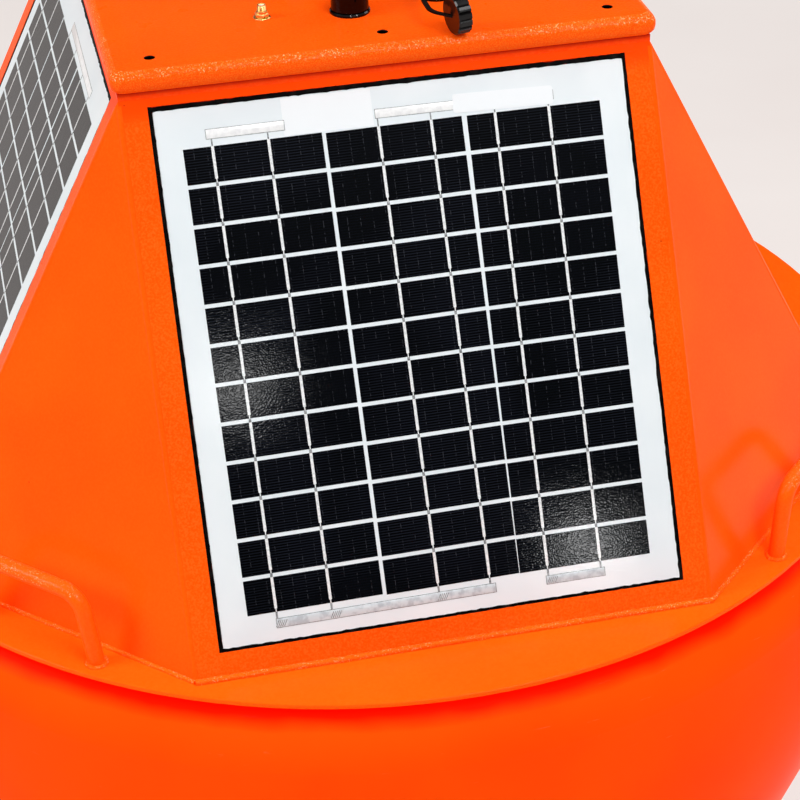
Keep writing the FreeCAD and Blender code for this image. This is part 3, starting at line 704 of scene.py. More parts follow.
@dataclass(frozen=True)
class AmberGlass(Finish):
    """Clear amber polycarbonate of the marker light."""

    deep: Colour = (255, 172, 40)
    light: Colour = (255, 186, 60)

    def mix(self, recipe: Recipe) -> None:
        """Write a tinted clear body with faint flow marks.

        Args:
            recipe: The tree that is written.
        """
        flow = recipe.noise(14 * MM, 2, recipe.place(stretch=(1, 1, 0.3)))
        recipe.surface(Base_Color=recipe.between(recipe.rise(flow, 0.3, 0.7), self.deep, self.light),
                       Transmission_Weight=0.85, IOR=1.58, Roughness=0.08,
                       Normal=recipe.bump(flow, 0.15 * MM))


@dataclass(frozen=True)
class Floor(Finish):
    """Pale matt studio floor that also lights itself a little where the camera or a mirror sees it."""

    deep: Colour = (244, 235, 231)
    light: Colour = (248, 240, 236)
    share: float = 0.7

    def mix(self, recipe: Recipe) -> None:
        """Write a faintly clouded floor.

        Args:
            recipe: The tree that is written.
        """
        body = recipe.between(recipe.clouds(0.5, 3, 0.3, 0.7), self.deep, self.light)
        matt = recipe.surface(Base_Color=body, Roughness=0.85, Specular_IOR_Level=0.2)
        pale = recipe.node("ShaderNodeEmission")
        recipe.feed(pale.inputs["Color"], body)
        recipe.blend(recipe.times(recipe.seen(), self.share), matt, pale.outputs["Emission"])


# The face's top band is painted shade under the lid.
FACE_PAINT = Paint("face_paint", Slot.ORANGE, peel=0.1 * MM, peel_size=1.6 * MM, grit=0.04 * MM, peel_light_and_shade=0.18,
                   coat=0.03, painted_shade_band=(0.990, 0.998))
# The head frame's colour is painted shade under the lid, with a darker painted shadow line just under its
# edge.
SHADED_HEAD_PAINT = Paint("head_paint", Slot.ORANGE, light=(250, 74, 6), deep=(250, 70, 5), peel=0.05 * MM,
                   grit=0.02 * MM, painted_shade_band=(1.0078, 1.0086), painted_shade_tone=(150, 26, 4))
CORNER_PAINT = Paint("corner_paint", Slot.ORANGE, peel=0.02 * MM, peel_size=2 * MM, grit=0.006 * MM,
                     rough=0.2, level=0.14, coat=0.0, gloss=0.08, peel_light_and_shade=0.05)
DECK_PAINT = Paint("deck_paint", Slot.ORANGE, light=(250, 102, 10), deep=(250, 96, 8), peel=0.04 * MM,
                   peel_size=2.4 * MM, grit=0.01 * MM, peel_light_and_shade=0.05, coat=0.04)
# The lid's golden grain and pinpoints are painted glints along its rounded front edge.
LID_PAINT = Paint("lid_paint", Slot.ORANGE, light=(246, 91, 9), deep=(246, 85, 7), peel=0.2 * MM,
                  peel_size=1.7 * MM, grit=0.05 * MM, coat=0.06, gloss=0.08, peel_light_and_shade=0.08, painted_glint=0.6,
                  painted_glint_band=(1.0222, 1.0269), grain=0.26, glint_grain_band=(1.013, 1.0269))
# The handles' pinpoints are painted glints along the top of the bar.
HANDLE_PAINT = Paint("handle_paint", Slot.ORANGE, light=(250, 102, 12), deep=(250, 95, 10),
                     peel=0.12 * MM, peel_size=1.6 * MM, grit=0.03 * MM, coat=0.1, gloss=0.06, peel_light_and_shade=0.1,
                     painted_glint=0.4, painted_glint_band=(0.7085, 0.72))
# The welds' pinpoints are painted glints.
WELD_PAINT = Paint("weld_paint", Slot.ORANGE, light=(250, 104, 12), deep=(246, 94, 9), peel=0.2 * MM,
                   peel_size=1.4 * MM, grit=0.04 * MM, coat=0.05, gloss=0.05, peel_light_and_shade=0.16, painted_glint=0.4)
FLOAT_SKIN = Skin("float_skin", Slot.FLOAT)
BACK_SHEET = BackSheet("back_sheet", Slot.GLASS)
SILICON = Silicon("silicon", Slot.GLASS)
RIBBON = Tinned("cell_ribbon", Slot.GLASS)
BUS_PALE = Tinned("pale_bus", Slot.GLASS, tone=(252, 254, 254), shade=(240, 242, 243), crinkle=4 * MM)
BUS_GREY = Tinned("grey_bus", Slot.GLASS, tone=(220, 228, 232), shade=(192, 200, 206), metallic=0.1,
                  crinkle=5 * MM)
SOLDER = Tinned("solder", Slot.GLASS, tone=(158, 162, 164), shade=(104, 108, 110), metallic=0.2)
PAPER = BackSheet("label_paper", Slot.GLASS, white=(247, 252, 255), shade=(246, 251, 254), glaze=0.2)
SEALANT = Plastic("sealant_bead", Slot.SEALANT, tone=(3, 2, 2), worn=(46, 40, 36), grain=2 * MM,
                  depth=0.2 * MM, rough=0.5, sheen=0.03, coat=0.0)
GOLD = Metal("gold_plate", Slot.GILT, tone=(255, 226, 158), shade=(244, 190, 104), spangle=3 * MM,
             rough=0.3, depth=0.01 * MM)
BLACK_PLASTIC = Plastic("black_moulding", Slot.BLACK, tone=(2, 2, 3), worn=(9, 9, 10), rough=0.2,
                        sheen=0.05, coat=0.3)
RUBBER = Plastic("rubber", Slot.RUBBER, tone=(8, 4, 3), worn=(26, 16, 14), rough=0.5, sheen=0.06,
                 coat=0.05)
CAP_PLASTIC = Plastic("cap_moulding", Slot.BLACK, tone=(6, 4, 4), worn=(20, 14, 14), rough=0.3,
                      coat=0.35)
INSULATOR = Plastic("white_insulator", Slot.GILT, tone=(250, 240, 210), worn=(236, 222, 186), rough=0.4)
AMBER = AmberGlass("amber_lens", Slot.AMBER)
LAMP_WHITE = Plastic("lamp_column", Slot.AMBER, tone=(238, 238, 232), worn=(226, 226, 220), rough=0.35)
CAST_IRON = Casting("iron_casting", Slot.IRON)
DARK_CASE = Plastic("battery_case", Slot.DARK_CASE, tone=(40, 41, 44), worn=(70, 70, 72), rough=0.5)
GREY_CASE = Plastic("logger_box", Slot.GREY_CASE, tone=(186, 190, 192), worn=(160, 162, 164), rough=0.45)
SONDE_BLACK = Plastic("sonde_acetal", Slot.SONDE, tone=(24, 24, 26), worn=(54, 54, 58), rough=0.34)
STEEL = Metal("zinc_coat", Slot.STEEL)
BOLT_METAL = Metal("bolt_zinc", Slot.STEEL, tone=(204, 206, 208), shade=(160, 162, 166), spangle=4 * MM,
                   rough=0.3)
FLOOR = Floor("studio_floor", Slot.ORANGE)


# ------------------------------------------------------------------ modelling steps

class Pick(Enum):
    """Kinds of mesh element that can be selected."""

    VERT = "verts"
    EDGE = "edges"
    FACE = "faces"


def let_go() -> None:
    """Deselect every object."""
    bpy.ops.object.select_all(action="DESELECT")


def take(piece: Piece) -> Piece:
    """Select one object alone and make it active.

    Args:
        piece: The object.

    Returns:
        The same object.
    """
    let_go()
    piece.select_set(True)
    bpy.context.view_layer.objects.active = piece
    return piece


def renamed(piece: Piece, name: str) -> Piece:
    """Name an object and its mesh.

    Args:
        piece: The object.
        name: The new name.

    Returns:
        The same object.
    """
    piece.name = name
    piece.data.name = name
    return piece


def added(name: str) -> Piece:
    """Name the primitive that was just added and bake its place into its mesh."""
    return settle(renamed(bpy.context.view_layer.objects.active, name))


def settle(piece: Piece, matrix: Matrix | None = None) -> Piece:
    """Bake an object's place into its mesh, after moving it when a matrix is given.

    Args:
        piece: The object.
        matrix: Where its own space goes.

    Returns:
        The same object.
    """
    take(piece)
    if matrix is not None:
        piece.matrix_world = matrix @ piece.matrix_world
        bpy.context.view_layer.update()
    bpy.ops.object.transform_apply(location=True, rotation=True, scale=True)
    return piece


@contextmanager
def editing(piece: Piece) -> Iterator[None]:
    """Open a piece in edit mode with all of it selected.

    Args:
        piece: The object.
    """
    take(piece)
    bpy.ops.object.mode_set(mode="EDIT")
    bpy.ops.mesh.select_all(action="SELECT")
    yield
    bpy.ops.object.mode_set(mode="OBJECT")


def pick(piece: Piece, kind: Pick, test: Callable[[object], bool]) -> None:
    """Select the elements that pass a test, in edit mode.

    Args:
        piece: The object that is being edited.
        kind: What is selected.
        test: Whether one element of the mesh is wanted.
    """
    bpy.ops.mesh.select_all(action="DESELECT")
    bpy.ops.mesh.select_mode(type=kind.name)
    mesh = bmesh.from_edit_mesh(piece.data)
    for element in getattr(mesh, kind.value):
        if test(element):
            element.select_set(True)
    mesh.select_flush_mode()
    bmesh.update_edit_mesh(piece.data)


def run_of(edge: bmesh.types.BMEdge) -> Vector:
    """Give the way from one end of an edge to the other."""
    return edge.verts[0].co - edge.verts[1].co


def drag(step: Sequence[float]) -> None:
    """Extrude the selected edges by a step."""
    bpy.ops.mesh.extrude_edges_move(TRANSFORM_OT_translate={"value": step})


def face_outwards() -> None:
    """Turn every face of the mesh that is being edited outwards."""
    bpy.ops.mesh.select_all(action="SELECT")
    bpy.ops.mesh.normals_make_consistent(inside=False)


def modify(piece: Piece, kind: str, **settings: object) -> None:
    """Add a modifier and apply it.

    Args:
        piece: The object.
        kind: The modifier's type.
        **settings: The modifier's properties.
    """
    take(piece)
    modifier = piece.modifiers.new(kind.lower(), kind)
    for key, value in settings.items():
        setattr(modifier, key, value)
    bpy.ops.object.modifier_apply(modifier=modifier.name)


def array(piece: Piece, count: int, step: Sequence[float]) -> None:
    """Repeat a piece along a line until there are as many as the count."""
    modify(piece, "ARRAY", count=count, use_relative_offset=False, use_constant_offset=True,
           constant_offset_displace=step)


def crumple(piece: Piece, size: float, depth: float, direction: str = "NORMAL") -> None:
    """Push the surface about with cloudy noise.

    Args:
        piece: The object.
        size: Width of a cloud in metres.
        depth: Metres between the lowest and the highest place.
        direction: The modifier's direction.
    """
    clouds = bpy.data.textures.new(piece.name, "CLOUDS")
    clouds.noise_scale = size
    clouds.noise_depth = 2
    modify(piece, "DISPLACE", texture=clouds, strength=depth, mid_level=0.5, direction=direction,
           texture_coords="LOCAL")
    bpy.data.textures.remove(clouds)


def block(name: str, low: Sequence[float], high: Sequence[float], bevel: float = 0.0,
          segments: int = 2) -> Piece:
    """Make a box between two corners, with bevelled edges when asked.

    Args:
        name: The piece's name.
        low: Lowest corner.
        high: Highest corner.
        bevel: Width of the bevel.
        segments: Steps in the bevel.

    Returns:
        The piece.
    """
    middle = [(a + b) / 2 for a, b in zip(low, high)]
    let_go()
    bpy.ops.mesh.primitive_cube_add(size=1, location=middle)
    bpy.context.object.scale = [b - a for a, b in zip(low, high)]
    piece = added(name)
    if bevel:
        with editing(piece):
            bpy.ops.mesh.bevel(offset=bevel, segments=segments, affect="EDGES", clamp_overlap=True)
    return piece


def lathe(name: str, profile: Sequence[tuple[float, float]], segments: int = 48,
          closed: bool = True, corner: float = 0.0) -> Piece:
    """Turn a profile about Z by extruding a ring, or a square with round corners, along it.

    Args:
        name: The piece's name.
        profile: Radius and height of each station.
        segments: Sides of the ring.
        closed: Whether the first and the last station get an end face.
        corner: Radius of the corners of a square outline; a round one when it is zero.

    Returns:
        The piece.
    """
    radius, height = profile[0]
    let_go()
    if corner:
        bpy.ops.mesh.primitive_plane_add(size=2 * radius, location=(0, 0, height))
    else:
        bpy.ops.mesh.primitive_circle_add(vertices=segments, radius=radius, location=(0, 0, height))
    piece = added(name)
    with editing(piece):
        if corner:
            bpy.ops.mesh.bevel(offset=corner, segments=6, affect="VERTICES")
            bpy.ops.mesh.delete(type="ONLY_FACE")
            bpy.ops.mesh.select_all(action="SELECT")
        if closed:
            bpy.ops.mesh.edge_face_add()
            pick(piece, Pick.EDGE, lambda edge: edge.is_boundary or len(edge.link_faces) == 1)
        for next_radius, next_height in profile[1:]:
            drag((0, 0, next_height - height))
            scale = next_radius / radius
            bpy.ops.transform.resize(value=(scale, scale, 1), center_override=(0, 0, next_height))
            radius, height = next_radius, next_height
        if closed:
            bpy.ops.mesh.edge_face_add()
        face_outwards()
    return piece


def ring_bead(tube: float, throat: float, sides: tuple[int, int], cloud: float, lumps: float) -> Piece:
    """Lay a weld bead round the foot of a tube that stands at zero.

    Args:
        tube: Radius of the tube.
        throat: Radius of the bead.
        sides: Steps round the tube and round the bead.
        cloud: Width of the bead's lumps.
        lumps: Depth of the lumps.

    Returns:
        The bead.
    """
    let_go()
    bpy.ops.mesh.primitive_torus_add(major_radius=tube + 0.4 * MM, minor_radius=throat,
                                     major_segments=sides[0], minor_segments=sides[1])
    piece = added("ring_bead")
    crumple(piece, cloud, lumps)
    return piece


def join(name: str, parts: Sequence[Piece]) -> Piece:
    """Join several objects into one.

    Args:
        name: The joined piece's name.
        parts: The objects.

    Returns:
        The joined piece.
    """
    let_go()
    for part in parts:
        part.select_set(True)
    bpy.context.view_layer.objects.active = parts[0]
    if len(parts) > 1:
        bpy.ops.object.join()
    return renamed(parts[0], name)


def copies(piece: Piece, places: Iterable[Matrix]) -> list[Piece]:
    """Put copies of a piece, each with its own mesh, in their places and drop the pattern.

    Args:
        piece: The pattern.
        places: Where the copies go.

    Returns:
        The copies.
    """
    made = []
    for place in places:
        take(piece)
        bpy.ops.object.duplicate(linked=False)
        made.append(settle(bpy.context.view_layer.objects.active, place))
    bpy.data.objects.remove(piece)
    return made


def unwrap_flat(piece: Piece) -> None:
    """Give a flat-lying piece one UV map, which reads its X and Y in metres.

    Args:
        piece: The object.
    """
    for old in list(piece.data.uv_layers):
        piece.data.uv_layers.remove(old)
    layer = piece.data.uv_layers.new(name="flat")
    for loop in piece.data.loops:
        layer.data[loop.index].uv = piece.data.vertices[loop.vertex_index].co[:2]


def present(piece: Piece, finish: Finish, body: Body, smooth: float = 35,
            stands_for: Sequence[str] = ()) -> None:
    """Dress a finished piece and let it ride on its body.

    Args:
        piece: The object.
        finish: Its finish.
        body: The body that carries it.
        smooth: Largest fold in degrees that is shaded smooth.
        stands_for: Frame nodes that it replaces.
    """
    take(piece)
    bpy.ops.object.shade_smooth_by_angle(angle=math.radians(smooth))
    piece.data.materials.clear()
    piece.data.materials.append(finish.material())
    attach(piece, body.value)
    if stands_for:
        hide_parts(*stands_for)
    LOG.info("%s: %d faces, %s", piece.name, len(piece.data.polygons), finish.name)


def dress_nodes(finish: Finish, *names: str) -> None:
    """Give frame nodes a finish.

    Args:
        finish: The finish.
        *names: The nodes.
    """
    for name in names:
        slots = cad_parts[name].data.materials
        slots.clear()
        slots.append(finish.material())
        LOG.info("%s: frame node, %s", name, finish.name)


# ------------------------------------------------------------------ where things are

HEAD_LOW, HEAD_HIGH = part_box("tower_head_frame")
DECK_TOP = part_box("deck_flange")[1].z
TOWER_APOTHEM = -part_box("tower_face_front")[0].y
LEAN = math.atan2(TOWER_APOTHEM - HEAD_HIGH.x, HEAD_LOW.z - DECK_TOP)
LID_LOW, LID_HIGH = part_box("lid")


@dataclass(frozen=True)
class Face:
    """One inclined face of the tower and its own frame."""

    index: int

    @property
    def name(self) -> str:
        """Name of the quarter that the face looks to."""
        return QUARTERS[self.index]

    @property
    def matrix(self) -> Matrix:
        """Turn the face's across, up and outward into the buoy's X, Y and Z."""
        tilt = Matrix.Rotation(math.pi / 2 - LEAN, 4, "X")
        return swing(90 * self.index) @ (shift(0, -TOWER_APOTHEM, DECK_TOP) @ tilt)

    def point(self, across: float, up: float, outward: float) -> Vector:
        """Give a point of the face in the buoy's X, Y and Z."""
        return self.matrix @ Vector((across, up, outward))


FACES = tuple(Face(index) for index in range(4))


# ------------------------------------------------------------------ solar panels

@dataclass(frozen=True)
class CellString:
    """One column of cells: where its middle line starts and ends, and its two ribbons."""

    head: float
    foot: float
    ribbons: tuple[float, ...]

    def matrix(self, low: float, length: float) -> Matrix:
        """Give the place of the string, which is built upright round zero.

        Args:
            low: Lower edge of the grid.
            length: Height of the grid.

        Returns:
            The string's place in the face's frame.
        """
        slant = math.atan2(self.foot - self.head, length)
        middle = low + length / 2
        return (shift((self.head + self.foot) / 2, middle) @ Matrix.Rotation(slant, 4, "Z")
                @ shift(0, -middle))


@dataclass(frozen=True)
class Bus:
    """One wide ribbon that gathers the strings, with its slant and the places where it is crimped."""

    left: float
    right: float
    low: float
    width: float
    slant: float
    crimps: tuple[float, ...]
    finish: Finish


STRINGS = (
    CellString(*mm(-99.0, -96.6), mm(-27.5, 10.8)),
    CellString(*mm(-1.3, 1.1), mm(-10.9, 26.0)),
    CellString(*mm(97.3, 96.6), mm(-27.5, 10.8)),
)
BUSES = (
    Bus(*mm(-129.8, -76.5, 365.0, 6.2), 0, (), BUS_PALE),
    Bus(*mm(-13.4, 112.0, 365.2, 5.8), -0.4, (), BUS_PALE),
    Bus(*mm(-124.7, 30.7, 29.3, 6.0), 0.4, mm(-124.1, -85.8, -9.8), BUS_GREY),
    Bus(*mm(67.5, 109.9, 29.5, 5.6), 0, mm(69.1), BUS_GREY),
)


@dataclass
class SolarPanel:
    """A let-in panel: laminate, cells, ribbons, buses and its bead of sealant."""

    face: Face
    half_width: float = 164 * MM
    foot: float = 20 * MM
    length: float = 368 * MM
    glass: float = 3.4 * MM
    surface: float = -0.6 * MM
    corner: float = 1.5 * MM
    arris: float = 0.5 * MM
    sag: tuple[float, ...] = mm(0.4, -0.9)
    grid_foot: float = 40 * MM
    grid_length: float = 320 * MM
    cell_width: float = 95 * MM
    row_gap: float = 2.7 * MM
    rows: int = 12
    film: float = 0.12 * MM
    ribbon_width: float = 2.0 * MM
    ribbon_short: float = 2.6 * MM
    ribbon_taper: float = 0.5 * MM
    ribbon_tip: float = 0.35
    bus_rim: float = 0.4 * MM
    ridge: tuple[float, ...] = mm(0.3, 0.2)
    ridge_pitch: float = 1.4 * MM
    ridge_count: int = 5
    ridge_slant: float = -0.5
    label_low: tuple[float, ...] = mm(41, 362)
    label_high: tuple[float, ...] = mm(112, 374.8)
    label_pivot: tuple[float, ...] = mm(76, 368)
    label_turn: float = -1.3
    tape_low: tuple[float, ...] = mm(-77, 361)
    tape_high: tuple[float, ...] = mm(-15, 386)
    seal_gap: float = 2.5 * MM
    seal_laps: tuple[float, ...] = mm(0.3, 0.2, 0.9, 0.3)
    seal_depths: tuple[float, ...] = mm(-3.0, -0.45)
    seal_lumps: tuple[tuple[float, float, str], ...] = ((3.2, 1.7, "X"), (2.8, 1.9, "Y"), (4, 0.7, "Z"))

    @property
    def row_pitch(self) -> float:
        """Distance from row to row."""
        return (self.grid_length + self.row_gap) / self.rows

    @property
    def cell_height(self) -> float:
        """Height of one cell."""
        return self.row_pitch - self.row_gap

    def build(self) -> None:
        """Build every layer of the panel and its bead."""
        self.laminate()
        self.cells()
        self.ribbons()
        self.buses()
        self.bead()
        if self.face.index == 0:
            self.label()

    def lay(self, title: str, parts: Sequence[Piece], finish: Finish, stands_for: Sequence[str] = ()) -> None:
        """Join the parts of one layer, which lie in the face's frame, put them on the face and dress them."""
        piece = settle(join(f"{title}_{self.face.name}", parts), self.face.matrix)
        present(piece, finish, Body.BUOY, stands_for=stands_for)

    def places(self, ribbons: bool) -> list[Matrix]:
        """Give the places of the strings in the face's frame, or those of their ribbons."""
        return [string.matrix(self.grid_foot, self.grid_length) @ shift(at, 0)
                for string in STRINGS for at in (string.ribbons if ribbons else (0,))]

    def laminate(self) -> None:
        """Glass and back sheet in one bevelled slab, sunk a little to the foot of its window."""
        top = self.surface
        piece = block(f"laminate_{self.face.name}", (-self.half_width, self.foot, top - self.glass),
                      (self.half_width, self.foot + self.length, top))
        with editing(piece):
            pick(piece, Pick.EDGE, lambda edge: abs(run_of(edge).z) > MM)
            bpy.ops.mesh.bevel(offset=self.corner, segments=4, affect="EDGES")
            pick(piece, Pick.EDGE, lambda edge: min(end.co.z for end in edge.verts) > top - MM / 10)
            bpy.ops.mesh.bevel(offset=self.arris, segments=2, affect="EDGES")
        settle(piece, self.face.matrix @ shift(*self.sag))
        present(piece, BACK_SHEET, Body.BUOY, 20, [f"solar_panel_{self.face.name}"])

    def cells(self) -> None:
        """Thin plates of silicon in strings."""
        cell = block("cell", (-self.cell_width / 2, self.grid_foot, self.surface - self.film),
                     (self.cell_width / 2, self.grid_foot + self.cell_height, self.surface + self.film))
        array(cell, self.rows, (0, self.row_pitch, 0))
        unwrap_flat(cell)
        self.lay("cells", copies(cell, self.places(ribbons=False)), SILICON)

    def ribbons(self) -> None:
        """Tinned ribbons over the cells, with the solder joints between the rows and the tails."""
        half = self.ribbon_width / 2
        low = self.grid_foot + self.ribbon_short
        row_top = self.grid_foot + self.cell_height
        strip = block("strip", (-half, low, self.surface), (half, row_top, self.surface + 2 * self.film))
        with editing(strip):
            pick(strip, Pick.FACE, lambda face: face.normal.y < -0.5)
            for step, width in ((self.ribbon_taper, self.ribbon_tip),
                                (self.ribbon_short - self.ribbon_taper, 1)):
                bpy.ops.mesh.extrude_region_move(TRANSFORM_OT_translate={"value": (0, -step, 0)})
                bpy.ops.transform.resize(value=(width, 1, 1), center_override=(0, low, self.surface))
        array(strip, self.rows, (0, self.row_pitch, 0))
        joint = self.tinned(0.9 * half, row_top, row_top + self.row_gap, 1.6, 0.15 * MM)
        array(joint, self.rows - 1, (0, self.row_pitch, 0))
        foot_bus, head_bus = BUSES[2], BUSES[0]
        head = self.grid_foot + self.grid_length
        tails = [self.tinned(0.7 * half, foot_bus.low + foot_bus.width - MM, self.grid_foot, 1.2),
                 self.tinned(0.5 * half, head, head_bus.low + MM, 1)]
        places = self.places(ribbons=True)
        self.lay("ribbons", copies(strip, places), RIBBON)
        self.lay("joints", [made for part in (joint, *tails) for made in copies(part, places)], SOLDER)

    def tinned(self, half: float, low: float, high: float, films: float, bevel: float = 0.0) -> Piece:
        """Make a short strip of solder along a string, as thick as a number of films."""
        top = self.surface + films * self.film
        return block("tinned", (-half, low, self.surface), (half, high, top), bevel)

    def buses(self) -> None:
        """Wide bus ribbons above and below the grid, with a darker edge and crimps."""
        rim = self.bus_rim
        edges = []
        for number, bus in enumerate(BUSES):
            middle = ((bus.left + bus.right) / 2, bus.low + bus.width / 2, 0)
            turn = shift(*middle) @ swing(bus.slant)
            place = self.face.matrix @ turn @ shift(*[-value for value in middle])
            edge = block("edge", (bus.left - rim, bus.low - rim, self.surface),
                         (bus.right + rim, bus.low + bus.width + rim, self.surface + self.film * 1.2))
            crimps = [self.crimp(at, bus) for at in bus.crimps]
            edges += [settle(part, place) for part in (edge, *crimps)]
            plate = block(f"bus_{self.face.name}_{number}", (bus.left, bus.low, self.surface),
                          (bus.right, bus.low + bus.width, self.surface + self.film * 1.8), 0.1 * MM)
            present(settle(plate, place), bus.finish, Body.BUOY)
        present(join(f"bus_edges_{self.face.name}", edges), SOLDER, Body.BUOY)

    def crimp(self, at: float, bus: Bus) -> Piece:
        """Slanted ridges where a ribbon is soldered on a bus.

        Args:
            at: Place across the panel.
            bus: The bus.

        Returns:
            The ridges as one object.
        """
        half, tall = self.ridge
        low = self.surface + self.film
        ridge = block("ridge", (-half, 0.5 * MM, low), (half, bus.width - 0.5 * MM, low + tall), 0.1 * MM, 1)
        settle(ridge, shift(at - 1.5 * MM, bus.low) @ Matrix.Rotation(self.ridge_slant, 4, "Z"))
        array(ridge, self.ridge_count, (self.ridge_pitch, 0, 0))
        return ridge

    def label(self) -> None:
        """Blank paper label near the panel's head, and a patch of clear tape."""
        paper = block("label", (*self.label_low, self.surface), (*self.label_high, self.surface + 0.4 * MM))
        with editing(paper):
            pick(paper, Pick.EDGE, lambda edge: abs(run_of(edge).z) > MM / 10)
            bpy.ops.mesh.bevel(offset=2 * MM, segments=5, affect="EDGES")
        across, up = self.label_pivot
        settle(paper, shift(across, up) @ swing(self.label_turn) @ shift(-across, -up))
        tape = block("tape", (*self.tape_low, self.surface), (*self.tape_high, self.surface + 0.1 * MM))
        self.lay("label", [paper], PAPER)
        self.lay("tape", [tape], PAPER)

    def bead(self) -> None:
        """Four ragged strips of black sealant in the gap round the laminate."""
        foot, head = self.foot, self.foot + self.length
        low, high, half = foot - self.seal_gap, head + self.seal_gap, self.half_width
        reach = half + self.seal_gap
        left, right, over, under = self.seal_laps
        strips = (((-reach, head - over), (reach, high - under), 0), ((-reach, low), (-half + left, high), 1),
                  ((half - right, low), (reach, high), 1), ((-reach, low), (reach, foot - under), 0))
        parts = []
        for start, end, long_axis in strips:
            strip = block("strip", (*start, self.seal_depths[0]), (*end, self.seal_depths[1]))
            with editing(strip):
                pick(strip, Pick.EDGE, lambda edge: edge.calc_length() > 100 * MM)
                bpy.ops.mesh.subdivide(number_cuts=220)
                pick(strip, Pick.EDGE, lambda edge: abs(run_of(edge)[1 - long_axis]) > MM)
                bpy.ops.mesh.subdivide(number_cuts=2)
            parts.append(strip)
        bead = join("bead", parts)
        for size, depth, direction in self.seal_lumps:
            crumple(bead, size * MM, depth * MM, direction)
        self.lay("sealant", [bead], SEALANT, [f"panel_seal_{self.face.name}"])


# ------------------------------------------------------------------ tower and deck

@dataclass
class Weld:
    """A rippled bead between two points, under the paint."""

    start: Vector
    end: Vector
    radius: float = 2.6 * MM
    ripple: float = 1.2 * MM
    swell: float = 0.3 * MM
    lumps: float = 1.0 * MM
    sides: int = 12

    def build(self) -> Piece:
        """Extrude a ring along the seam, fatten every other ring and make it uneven.

        Returns:
            The bead.
        """
        run = self.end - self.start
        steps = max(2, int(run.length / self.ripple))
        pitch = run.length / steps
        let_go()
        bpy.ops.mesh.primitive_circle_add(vertices=self.sides, radius=self.radius,
                                          rotation=(0, math.pi / 2, 0))
        piece = added("seam")
        with editing(piece):
            bpy.ops.mesh.extrude_repeat(steps=steps, offset=(pitch, 0, 0))
            if self.swell:
                pick(piece, Pick.VERT, lambda vert: round(vert.co.x / pitch) % 2 == 1)
                bpy.ops.transform.shrink_fatten(value=-self.swell)
            face_outwards()
        if self.lumps:
            crumple(piece, 3 * MM, self.lumps)
        turn = run.to_track_quat("X", "Z").to_matrix().to_4x4()
        return settle(piece, Matrix.Translation(self.start) @ turn)


@dataclass
class Tower:
    """The eight-sided tower: painted sheets, rounded folds and welded foot seams."""

    front_lift: float = 1.6 * MM
    side_lift: float = 0.5 * MM
    face_seam: tuple[float, ...] = mm(2.2, 1.1)
    corner_seam: tuple[float, ...] = mm(1.7, 0.9)
    fold_radius: float = 3.0 * MM
    fold_depth: float = 2.94 * MM
    fold_short: float = 3 * MM
    fold_step: float = 20 * MM
    fold_turn: float = math.radians(20)

    def build(self) -> None:
        """Dress the sheets, lay the beads and round the folds."""
        dress_nodes(FACE_PAINT, *[f"tower_face_{quarter}" for quarter in QUARTERS])
        dress_nodes(SHADED_HEAD_PAINT, "tower_head_frame")
        dress_nodes(CORNER_PAINT, *[f"tower_corner_{corner}" for corner in CORNERS])
        self.seams()
        self.folds()

    def seams(self) -> None:
        """Lay the fillet welds between the sheets and the deck."""
        half = HEAD_HIGH.x
        seams = []
        for face, neighbour in zip(FACES, FACES[1:] + FACES[:1]):
            for start, end, (radius, lumps) in (
                    (face.point(-half, 0, self.front_lift), face.point(half, 0, self.front_lift),
                     self.face_seam),
                    (face.point(half, 0, self.side_lift), neighbour.point(-half, 0, self.side_lift),
                     self.corner_seam)):
                seams.append(Weld(start, end, radius, lumps=lumps).build())
        present(join("tower_foot_weld", seams), WELD_PAINT, Body.BUOY, 60)

    def folds(self) -> None:
        """Round the sharp folds between faces and corner sheets."""
        slope = (HEAD_LOW.z - DECK_TOP) / math.cos(LEAN) - self.fold_short
        folds = []
        for face in FACES:
            for side in (-1, 1):
                inwards = Vector((-math.sin(self.fold_turn) * side, 0, -math.cos(self.fold_turn)))
                foot, head = (face.matrix @ (Vector((HEAD_HIGH.x * side, up, 0)) + inwards * self.fold_depth)
                              for up in (0, slope))
                folds.append(Weld(foot, head, self.fold_radius, self.fold_step, 0, 0, 32).build())
        present(join("tower_folds", folds), CORNER_PAINT, Body.BUOY, 60)


